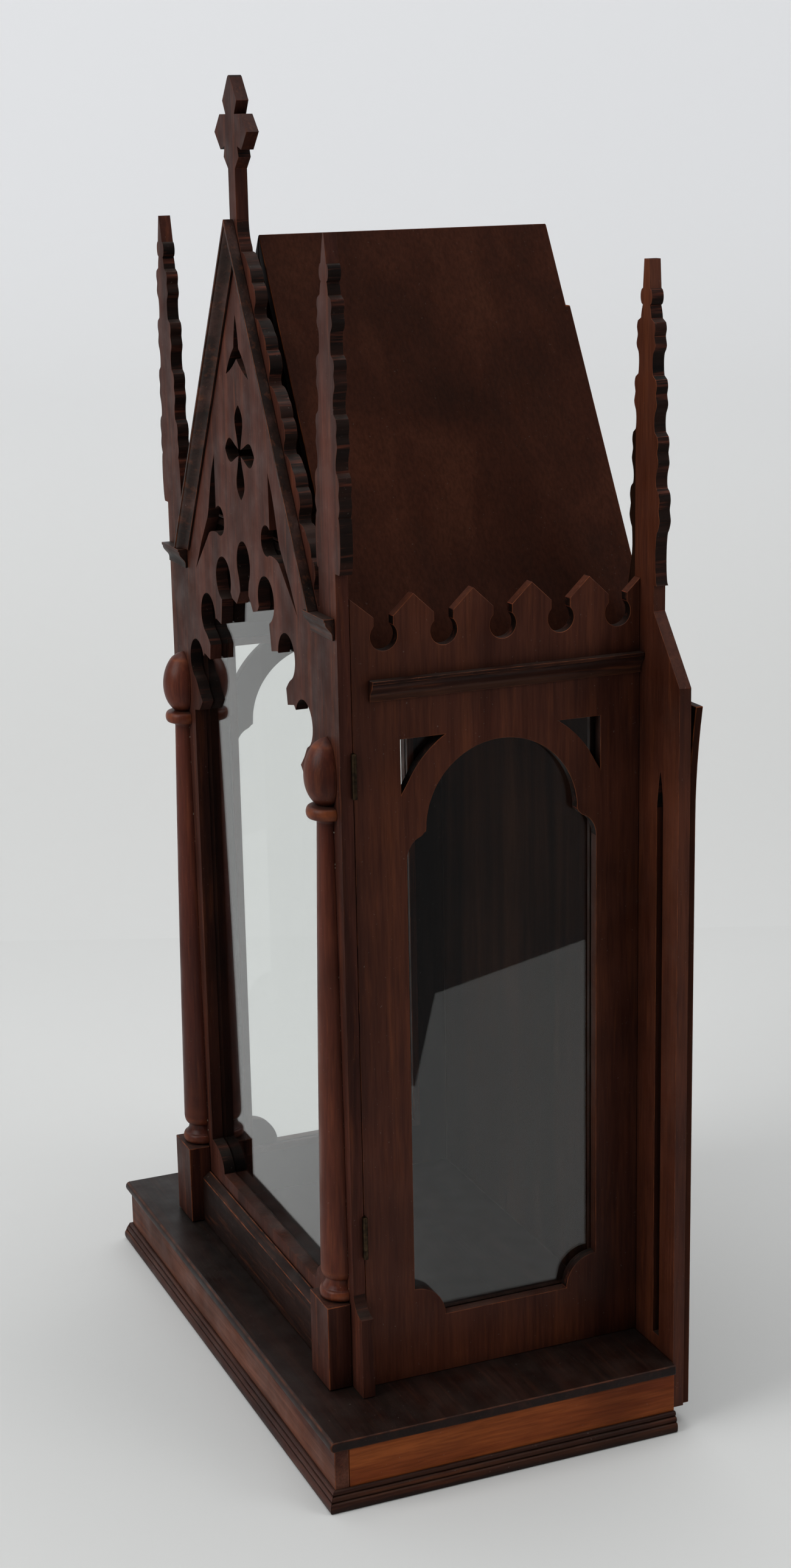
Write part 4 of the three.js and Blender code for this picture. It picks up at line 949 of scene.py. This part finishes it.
@dataclass
class HalfTurning:
    """A column turned whole, sawn down its length and glued flat to the door: the profile drawn finer."""

    node: str
    finish: VarnishedWood
    slot: str = "turned_wood"
    body: str = "door"
    steps: int = 32  # facets in the half round
    passes: int = 2
    corner_degrees: float = 40.0
    worn_mm: float = 3.0  # what stands this far out of its surroundings is rubbed bare
    around_mm: float = 7.0  # how far its surroundings reach, up and down

    def build(self, finishes: Finishes) -> bpy.types.Object:
        """Turn the column and put it in its solid's place.

        Args:
            finishes: where the materials come from.

        Returns:
            The new piece.
        """
        low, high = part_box(self.node)
        centre, back = (low[0] + high[0]) / 2, high[1]
        profile = self._profile()
        mesh = bmesh.new()
        rub = mesh.verts.layers.float.new(RUB)
        rings = []
        for point in profile:
            ring = []
            for step in range(self.steps + 1):
                angle = math.pi * step / self.steps
                place = (centre + point.x * math.cos(angle), back - point.x * math.sin(angle), point.y)
                corner = mesh.verts.new(place)
                corner[rub] = self._rub(profile, point)
                ring.append(corner)
            rings.append(ring)
        mesh.faces.new(rings[0])
        mesh.faces.new(list(reversed(rings[-1])))
        for under, over in zip(rings, rings[1:]):
            mesh.faces.new((under[0], over[0], over[-1], under[-1]))
            for step in range(self.steps):
                mesh.faces.new((under[step], under[step + 1], over[step + 1], over[step]))
        bmesh.ops.recalc_face_normals(mesh, faces=mesh.faces)
        for edge in mesh.edges:
            edge.smooth = edge.calc_face_angle(0.0) < math.radians(self.corner_degrees)
        piece = place_piece("worn_" + self.node, mesh, [finishes.get(self.finish)], self.body)
        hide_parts(self.node)
        return piece

    def _profile(self) -> list[Vector]:
        """Read the profile off the solid's rings and draw it finer.

        Returns:
            Points of radius and height, from the foot up.
        """
        reach: dict[float, list[float]] = {}
        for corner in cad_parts[self.node].data.vertices:
            reach.setdefault(round(corner.co.z, 5), []).append(corner.co.x)
        points = [Vector(((max(xs) - min(xs)) / 2, height)) for height, xs in sorted(reach.items())]
        for _ in range(self.passes):
            finer = [points[0]]
            for index in range(len(points) - 1):
                start, end = points[index], points[index + 1]
                before = self._soft(points, index - 1, index, index + 1)
                after = self._soft(points, index + 2, index + 1, index)
                middle = halfway(before, start, end, after)
                finer += [middle if middle is not None else (start + end) / 2, end]
            points = finer
        return points

    def _soft(self, points: list[Vector], other: int, here: int, come_from: int) -> Vector | None:
        """Find the profile's point past here, or None at a corner or an end.

        Args:
            points: the profile.
            other: the number of the point past here.
            here: the number of the point to pass.
            come_from: the number of the point on the near side.

        Returns:
            The point, or None.
        """
        if not 0 <= other < len(points):
            return None
        soft = turns_softly(points[come_from], points[here], points[other], self.corner_degrees)
        return points[other] if soft else None

    def _rub(self, profile: list[Vector], point: Vector) -> float:
        """Say how far a point of the profile stands out to be rubbed, from 0 to 1."""
        near = [other.x for other in profile if abs(other.y - point.y) < self.around_mm * MM]
        return max(0.0, min(1.0, (point.x - sum(near) / len(near)) / (self.worn_mm * MM)))


@dataclass
class GlueSpill:
    """Beads of dried glue along a seam."""

    name: str
    start_mm: tuple[float, float, float]
    end_mm: tuple[float, float, float]
    count: int
    body: str
    slot: str
    seed: int
    least_mm: float = 0.35
    most_mm: float = 1.1
    drawn_out: float = 2.2  # how much longer a bead is than it is wide, at most
    crowding: float = 1.4  # above one, more beads lie near the start
    unevenness: float = 0.16

    def build(self, finishes: Finishes) -> bpy.types.Object:
        """Scatter the beads, each a squashed, uneven drop half sunk in the seam.

        Args:
            finishes: where the material comes from.

        Returns:
            The new piece.
        """
        draw = random.Random(self.seed)
        start, end = Vector(self.start_mm), Vector(self.end_mm)
        mesh = bmesh.new()
        for _ in range(self.count):
            size = draw.uniform(self.least_mm, self.most_mm)
            where = start.lerp(end, draw.random() ** self.crowding)
            stretch = (end - start).normalized() * (self.drawn_out - 1) * draw.random()
            scale = Vector((1, 1, 1)) + Vector([abs(c) for c in stretch])
            drop = bmesh.ops.create_icosphere(mesh, subdivisions=2, radius=1.0)
            for corner in drop["verts"]:
                uneven = 1 + draw.uniform(-self.unevenness, self.unevenness)
                corner.co = (where + corner.co * scale * size * uneven / 2) * MM
        return place_piece(self.name, mesh, [finishes.get(DriedGlue())], self.body)


def dress_solid(name: str, material: bpy.types.Material) -> None:
    """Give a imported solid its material.

    Args:
        name: the solid's node.
        material: its finish.
    """
    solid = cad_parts[name]
    solid.data.materials.clear()
    solid.data.materials.append(material)


@dataclass
class Plinth:
    """The stepped base: an orange-brown apron, a near-black top board and a cyma moulding at the floor."""

    board_arris_mm: float = 0.8
    lip_arris_mm: float = 1.6
    moulding_arris_mm: float = 0.3

    def build(self, finishes: Finishes) -> list[bpy.types.Object]:
        """Make the apron, the top board and the floor moulding."""
        return [part.build(finishes) for part in self._apron() + self._moulding()]

    def _apron(self) -> list[Board]:
        """Size the apron's three boards and the top board that overhangs them.

        Returns:
            The boards.
        """
        front = Board("plinth_front", PLINTH_FRONT_WOOD, "face_wood", arris_mm=self.board_arris_mm)
        top = Board("plinth_top", PLINTH_TOP_WOOD, "moulding_wood", arris_mm=self.lip_arris_mm)
        sides = [
            Board(f"plinth_side_{side}", PLINTH_SIDE_WOOD, "plinth_wood", arris_mm=self.board_arris_mm)
            for side in SIDES
        ]
        return [front, top, *sides]

    def _moulding(self) -> list[Board]:
        """Size the mitred moulding round the floor.

        Returns:
            Its three lengths.
        """
        runs = [("plinth_moulding_front", MOULDING_X_WOOD)]
        runs += [(f"plinth_moulding_side_{side}", MOULDING_Y_WOOD) for side in SIDES]
        return [
            Board(
                node,
                finish,
                "moulding_wood",
                form=Form.BAR,
                arris_mm=self.moulding_arris_mm,
                sharp_degrees=PROFILE_SHARP_DEGREES,
            )
            for node, finish in runs
        ]


@dataclass
class SideWalls:
    """The two fret-cut side walls with their windows, glass, beads and cornices."""

    arris_mm: float = 0.7
    bead_arris_mm: float = 0.5
    cornice_arris_mm: float = 0.35

    def build(self, finishes: Finishes) -> list[bpy.types.Object]:
        """Make both walls and what is fixed to them.

        Args:
            finishes: where the materials come from.

        Returns:
            The new pieces.
        """
        made = []
        for side in SIDES:
            dress_solid(f"side_glass_{side}", finishes.get(WindowGlass()))
            made += [part.build(finishes) for part in self._parts(side)]
        return made

    def _parts(self, side: str) -> list[Board]:
        """Size one side's wall, glazing bead and cornice.

        Args:
            side: right or left.

        Returns:
            The three boards.
        """
        return [
            Board(
                f"side_wall_{side}",
                SIDE_WOOD,
                "side_wood",
                form=Form.FRET,
                arris_mm=self.arris_mm,
                inside=ROOM_SHADE_WOOD,
                sawn=SAWN_EDGE,
            ),
            Board(f"side_glass_bead_{side}", SIDE_WOOD, "side_wood", arris_mm=self.bead_arris_mm),
            Board(
                f"cornice_{side}",
                MOULDING_Y_WOOD,
                "moulding_wood",
                form=Form.BAR,
                arris_mm=self.cornice_arris_mm,
                sharp_degrees=PROFILE_SHARP_DEGREES,
            ),
        ]


@dataclass
class Back:
    """The fret-cut rear board with its wings and pinnacles, and the panel behind the house."""

    arris_mm: float = 0.8
    panel_arris_mm: float = 1.0

    def build(self, finishes: Finishes) -> list[bpy.types.Object]:
        """Make the board and the panel.

        Args:
            finishes: where the materials come from.

        Returns:
            The new pieces.
        """
        board = Board(
            "back_board",
            WING_WOOD,
            "side_wood",
            form=Form.FRET,
            arris_mm=self.arris_mm,
            inside=ROOM_SHADE_WOOD,
            sawn=SAWN_EDGE,
        )
        panel = Board("back_panel", ROOF_WOOD, "roof_wood", arris_mm=self.panel_arris_mm)
        return [board.build(finishes), panel.build(finishes)]


@dataclass
class Roof:
    """Two steep plain slopes."""

    arris_mm: float = 1.0

    def build(self, finishes: Finishes) -> list[bpy.types.Object]:
        """Make both slopes.

        Args:
            finishes: where the materials come from.

        Returns:
            The new pieces.
        """
        return [
            Board(f"roof_{side}", ROOF_WOOD, "roof_wood", arris_mm=self.arris_mm, inside=ROOM_SHADE_WOOD).build(finishes)
            for side in SIDES
        ]


@dataclass
class Door:
    """The fret-cut front, which is the door: gable, pinnacles, half columns, bottom rail, rakes and glass."""

    arris_mm: float = 0.7
    rail_arris_mm: float = 1.1
    block_arris_mm: float = 0.8
    bead_arris_mm: float = 0.5
    rake_arris_mm: float = 0.35
    face_mm: float = -121.5  # where the board's front is along Y
    glue_foot_mm: float = 150.0  # the glue's lowest and highest point beside a column
    glue_top_mm: float = 575.0
    glue_foot_out_mm: float = 17.4  # how far it lies from the column's middle there
    glue_top_out_mm: float = 10.6
    glue_beads: int = 34
    glue_seed: int = 11

    def build(self, finishes: Finishes) -> list[bpy.types.Object]:
        """Make the front and all that is fixed to it.

        Args:
            finishes: where the materials come from.

        Returns:
            The new pieces.
        """
        dress_solid("door_glass", finishes.get(WindowGlass()))
        made = [part.build(finishes) for part in self._front() + self._trim()]
        for side in SIDES:
            made.append(HalfTurning(f"column_{side}", TURNED_WOOD).build(finishes))
        made += [spill.build(finishes) for spill in self._glue()]
        return made

    def _front(self) -> list[Board]:
        """Size the fret-cut board, the bottom rail and the glazing bead.

        Returns:
            The three boards.
        """
        return [
            Board(
                "facade",
                FRONT_WOOD,
                "face_wood",
                "door",
                Form.FRET,
                self.arris_mm,
                inside=ROOM_SHADE_WOOD,
                sawn=SAWN_EDGE,
            ),
            Board("door_rail", RAIL_WOOD, "face_wood", "door", arris_mm=self.rail_arris_mm),
            Board("door_glass_bead", SIDE_WOOD, "side_wood", "door", arris_mm=self.bead_arris_mm),
        ]

    def _trim(self) -> list[Board]:
        """Size the column blocks, and the reeded rakes with their returns.

        Returns:
            The blocks and bars, the right side's first.
        """
        made = []
        for side in SIDES:
            made.append(
                Board(f"column_block_{side}", FRONT_WOOD, "face_wood", "door", arris_mm=self.block_arris_mm)
            )
            made += [
                Board(
                    node,
                    RAKE_WOOD,
                    "moulding_wood",
                    "door",
                    Form.BAR,
                    self.rake_arris_mm,
                    sharp_degrees=PROFILE_SHARP_DEGREES,
                )
                for node in (f"rake_{side}", f"rake_return_{side}")
            ]
        return made

    def _glue(self) -> list[GlueSpill]:
        """Run the glue that squeezed out along both edges of each column.

        Returns:
            The four spills.
        """
        spills = []
        for number, (side, sign) in enumerate((("right", 1), ("left", -1))):
            low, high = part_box(f"column_{side}")
            centre = (low[0] + high[0]) / 2 / MM
            for edge in (-1, 1):
                foot = (centre + edge * self.glue_foot_out_mm, self.face_mm, self.glue_foot_mm)
                top = (centre + edge * self.glue_top_out_mm, self.face_mm, self.glue_top_mm)
                name = f"glue_{side}_{'inner' if edge * sign < 0 else 'outer'}"
                seed = self.glue_seed + 2 * number + edge
                spills.append(GlueSpill(name, foot, top, self.glue_beads, "door", "face_wood", seed))
        return spills


@dataclass
class Hinges:
    """Two small butt hinges let into the seam between the door and the right side wall."""

    knuckles: int = 5
    groove_mm: float = 0.3  # half the gap between two knuckles
    groove_depth_mm: float = 0.7
    axis_mm: tuple[float, float] = (220.5, -110.1)
    knuckle_mm: float = 2.2  # radius of the barrel
    barrel: tuple[float, float] = (0.8, 1.2)  # what lies between these shares of the radius is barrel, not leaf

    def build(self, finishes: Finishes) -> list[bpy.types.Object]:
        """Make both hinges, each a plain case leaf and a door leaf that carries the knuckles.

        Args:
            finishes: where the materials come from.

        Returns:
            The new pieces.
        """
        made = []
        for place in ("upper", "lower"):
            dress_solid(f"hinge_{place}_case_leaf", finishes.get(TarnishedBrass()))
            made.append(self._knuckled_leaf(f"hinge_{place}_door_leaf", finishes))
        return made

    def _knuckled_leaf(self, node: str, finishes: Finishes) -> bpy.types.Object:
        """Cut the joints between the knuckles into a leaf's barrel.

        Args:
            node: the leaf's solid.
            finishes: where the material comes from.

        Returns:
            The new piece.
        """
        low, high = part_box(node)
        axis = Vector((self.axis_mm[0] * MM, self.axis_mm[1] * MM, 0))
        mesh = bmesh.new()
        mesh.from_mesh(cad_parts[node].data)
        bmesh.ops.remove_doubles(mesh, verts=mesh.verts, dist=WELD)
        length = high[2] - low[2]
        joints = [low[2] + length * number / self.knuckles for number in range(1, self.knuckles)]
        for joint in joints:
            for offset in (-self.groove_mm * MM, 0.0, self.groove_mm * MM):
                bmesh.ops.bisect_plane(
                    mesh,
                    geom=[*mesh.verts, *mesh.edges, *mesh.faces],
                    plane_co=(0, 0, joint + offset),
                    plane_no=(0, 0, 1),
                    dist=CUT_REACH,
                )
        inner, outer = (share * self.knuckle_mm * MM for share in self.barrel)
        for corner in mesh.verts:
            if any(abs(corner.co.z - joint) < WELD for joint in joints):
                out = Vector((corner.co.x, corner.co.y, 0)) - axis
                if inner < out.length < outer:
                    corner.co -= out.normalized() * self.groove_depth_mm * MM
        piece = place_piece("knuckled_" + node, mesh, [finishes.get(TarnishedBrass())], "door")
        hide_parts(node)
        return piece


@dataclass
class Studio:
    """A pale floor and a glowing pale wall under soft lights, and the camera where the photograph was taken."""

    camera_mm: tuple[float, float, float] = (2070.1, -837.1, 1142.3)
    azimuth: float = 67.58  # the camera's angles are in degrees
    pitch: float = 15.01
    roll: float = -1.13
    focal_px: float = 4145.5
    seen_as_far_as: float = 50.0
    floor_colour: str = "c9cac9"
    wall_colour: str = "abacae"
    wall_glow: float = 0.85
    glow_height: float = 1.1  # where the wall glows in full
    sweep: float = 0.7  # radius of the curve between floor and wall
    sweep_steps: int = 24
    sweep_lift: float = 0.0002  # keeps the wall's foot just off the floor
    wall_distance: float = 1.9
    wall_height: float = 5.0
    wall_half_width: float = 7.0
    floor_reach: float = 9.0
    air_colour: str = "e8e8e8"
    air_strength: float = 0.2  # as a light
    air_seen: float = 0.8  # as the camera sees it
    # a dark sheet seen only in mirrors: painted reflection of the unlit room behind the camera
    dark_floor_mm: tuple[tuple[float, float], ...] = (
        (968.0, 264.0),
        (1258.0, 417.0),
        (3652.0, 6286.0),
        (9000.0, 6286.0),
        (9000.0, -9000.0),
        (1100.0, -9000.0),
    )
    dark_floor_lift_mm: float = 1.5
    shade_sheet_colour: str = "5a5959"
    far_mm: tuple[float, float] = (3200.0, 6000.0)  # where the floor starts to glow, and where it glows in full
    far_glow: float = 0.6
    lit_point: tuple[float, float, float] = (0.0, 0.0, 0.6)  # where every lamp points
    lamps: tuple[tuple[str, tuple[float, float, float], float, float], ...] = (  # name, place, side, watts
        ("window_light", (0.2, -3.2, 2.6), 2.4, 95.0),
        ("ceiling_light", (-0.2, 0.4, 4.2), 4.0, 115.0),
        ("right_fill", (2.6, 2.6, 2.2), 2.0, 34.0),
    )

    def build(self) -> None:
        """Make the floor, the wall, the lights, the camera and the air around them."""
        reach = self.floor_reach
        corners = [(-reach, -reach, 0), (reach, -reach, 0), (reach, reach, 0), (-reach, reach, 0)]
        self._sheet("floor", corners, [(0, 1, 2, 3)], self._floor_paint())
        self._wall()
        self._dark_floor()
        self._lights()
        self._camera()
        self._air()

    def _air(self) -> None:
        """Fill the studio with pale air, which the camera sees brighter than it lights."""
        world = bpy.data.worlds.new("studio_air")
        bpy.context.scene.world = world
        world.use_nodes = True
        tree = world.node_tree
        background = tree.nodes["Background"]
        background.inputs[0].default_value = linear(self.air_colour)
        seen = add_node(tree, "LightPath").outputs["Is Camera Ray"]
        strength = add_node(
            tree, "MapRange", {"in:To Min": self.air_strength, "in:To Max": self.air_seen}, {"Value": seen}
        ).outputs[0]
        tree.links.new(strength, background.inputs[1])

    def _floor_paint(self) -> bpy.types.Material:
        """Make the floor's matte paint, which glows far away so that it ends in pale air.

        Returns:
            The material.
        """
        material, tree, shader = new_material(
            "pale_floor",
            Base_Color=self.floor_colour,
            Roughness=1.0,
            Specular_IOR_Level=0.0,
            Emission_Color=self.floor_colour,
        )
        place = add_node(tree, "NewGeometry").outputs["Position"]
        far = add_node(tree, "VectorMath", {"operation": "LENGTH"}, {0: place}).outputs["Value"]
        start, end = (distance * MM for distance in self.far_mm)
        glow = add_node(
            tree,
            "MapRange",
            {"in:From Min": start, "in:From Max": end, "in:To Min": 0.0, "in:To Max": self.far_glow},
            {"Value": far},
        ).outputs[0]
        tree.links.new(glow, shader.inputs["Emission Strength"])
        return material

    def _sheet(
        self,
        name: str,
        corners: list[tuple[float, float, float]],
        faces: list[tuple[int, ...]],
        material: bpy.types.Material,
    ) -> bpy.types.Object:
        """Make one sheet of the surroundings.

        Args:
            name: the sheet's name.
            corners: its corners.
            faces: the numbers of each face's corners.
            material: its finish.

        Returns:
            The sheet.
        """
        data = bpy.data.meshes.new(name)
        data.from_pydata(corners, [], faces)
        data.materials.append(material)
        sheet = bpy.data.objects.new(name, data)
        bpy.context.scene.collection.objects.link(sheet)
        return sheet

    def _wall(self) -> None:
        """Put the wall behind the shrine, square to the camera's line, swept up from the floor in one curve."""
        turn = math.radians(self.azimuth)
        away = Vector((-math.sin(turn), math.cos(turn), 0))
        along = Vector((math.cos(turn), math.sin(turn), 0)) * self.wall_half_width
        profile = [(self.wall_distance - self.sweep, self.sweep_lift)]
        for step in range(1, self.sweep_steps + 1):
            angle = math.pi / 2 * step / self.sweep_steps
            out = self.wall_distance - self.sweep * (1 - math.sin(angle))
            profile.append((out, self.sweep * (1 - math.cos(angle))))
        profile.append((self.wall_distance, self.wall_height))
        corners, faces = [], []
        for out, height in profile:
            middle = away * out + Vector((0, 0, height))
            corners += [tuple(middle - along), tuple(middle + along)]
        for row in range(len(profile) - 1):
            faces.append((2 * row, 2 * row + 1, 2 * row + 3, 2 * row + 2))
        for face in self._sheet("wall", corners, faces, self._paper()).data.polygons:
            face.use_smooth = True

    def _paper(self) -> bpy.types.Material:
        """Make the wall's paper: lit from behind as it rises, and clear from its back.

        Returns:
            The material.
        """
        material, tree, shader = new_material("pale_wall", Roughness=0.9)
        geometry = add_node(tree, "NewGeometry").outputs
        high = add_node(tree, "SeparateXYZ", links={0: geometry["Position"]}).outputs["Z"]
        rise = add_node(
            tree,
            "MapRange",
            {"interpolation_type": "SMOOTHSTEP", "in:From Min": 0.0, "in:From Max": self.glow_height},
            {"Value": high},
        ).outputs[0]
        colour = add_node(
            tree,
            "Mix",
            {"data_type": "RGBA", COLOUR_A: self.floor_colour, COLOUR_B: self.wall_colour},
            {"Factor": rise},
        ).outputs[COLOUR_OUT]
        glow = add_node(tree, "Math", {"operation": "MULTIPLY", 1: self.wall_glow}, {0: rise}).outputs[0]
        tree.links.new(colour, shader.inputs["Base Color"])
        tree.links.new(colour, shader.inputs["Emission Color"])
        tree.links.new(glow, shader.inputs["Emission Strength"])
        clear = add_node(tree, "BsdfTransparent").outputs[0]
        one_way = add_node(
            tree, "MixShader", links={0: geometry["Backfacing"], 1: shader.outputs[0], 2: clear}
        ).outputs[0]
        tree.links.new(one_way, tree.get_output_node("ALL").inputs["Surface"])
        return material

    def _dark_floor(self) -> None:
        """Lay a dark sheet at floor level that only mirrors see, as painted reflection of the shade where the room
        behind the camera is dark.
        """
        corners = [(x * MM, y * MM, self.dark_floor_lift_mm * MM) for x, y in self.dark_floor_mm]
        shade_sheet, tree, shader = new_material(
            "mirrored_shade", Base_Color=self.shade_sheet_colour, Roughness=1.0, Specular_IOR_Level=0.0
        )
        mirrored = add_node(tree, "LightPath").outputs["Glossy Depth"]
        clear = add_node(tree, "BsdfTransparent").outputs[0]
        seen = add_node(tree, "MixShader", links={0: mirrored, 1: clear, 2: shader.outputs[0]}).outputs[0]
        tree.links.new(seen, tree.get_output_node("ALL").inputs["Surface"])
        sheet = self._sheet("dark_floor", corners, [tuple(range(len(corners)))], shade_sheet)
        sheet.visible_camera = False
        sheet.visible_diffuse = False
        sheet.visible_shadow = False

    def _lights(self) -> None:
        """Hang a large window of light to the left of the camera, and the fills."""
        for name, place, size, power in self.lamps:
            data = bpy.data.lights.new(name, "AREA")
            data.shape = "SQUARE"
            data.size = size
            data.energy = power
            lamp = bpy.data.objects.new(name, data)
            lamp.location = place
            lamp.rotation_mode = "QUATERNION"
            lamp.rotation_quaternion = (Vector(self.lit_point) - Vector(place)).to_track_quat("-Z", "Y")
            bpy.context.scene.collection.objects.link(lamp)

    def _camera(self) -> None:
        """Set the camera at the photograph's place, angle and focal length."""
        turn, dip, lean = (math.radians(a) for a in (self.azimuth, self.pitch, self.roll))
        ahead = Vector((-math.sin(turn) * math.cos(dip), math.cos(turn) * math.cos(dip), -math.sin(dip)))
        right = Vector((math.cos(turn), math.sin(turn), 0))
        up = right.cross(ahead)
        level_right = right * math.cos(lean) + up * math.sin(lean)
        level_up = up * math.cos(lean) - right * math.sin(lean)
        data = bpy.data.cameras.new("photo_camera")
        data.sensor_width = SENSOR_MM
        data.lens = self.focal_px * SENSOR_MM / max(PHOTO_WIDTH, PHOTO_HEIGHT)
        data.clip_end = self.seen_as_far_as
        camera = bpy.data.objects.new("photo_camera", data)
        turned = Matrix((level_right, level_up, -ahead)).transposed().to_4x4()
        camera.matrix_world = Matrix.Translation(Vector(self.camera_mm) * MM) @ turned
        bpy.context.scene.collection.objects.link(camera)
        bpy.context.scene.camera = camera


def main() -> None:
    """Build the shrine and its studio, and report each piece."""
    finishes = Finishes()
    for assembly in (Plinth(), SideWalls(), Back(), Roof(), Door(), Hinges()):
        for piece in assembly.build(finishes):
            LOG.info("%s: %s, %d faces", type(assembly).__name__, piece.name, len(piece.data.polygons))
    Studio().build()
    bpy.context.scene.view_settings.view_transform = "Standard"


if __name__ == "__main__":
    main()
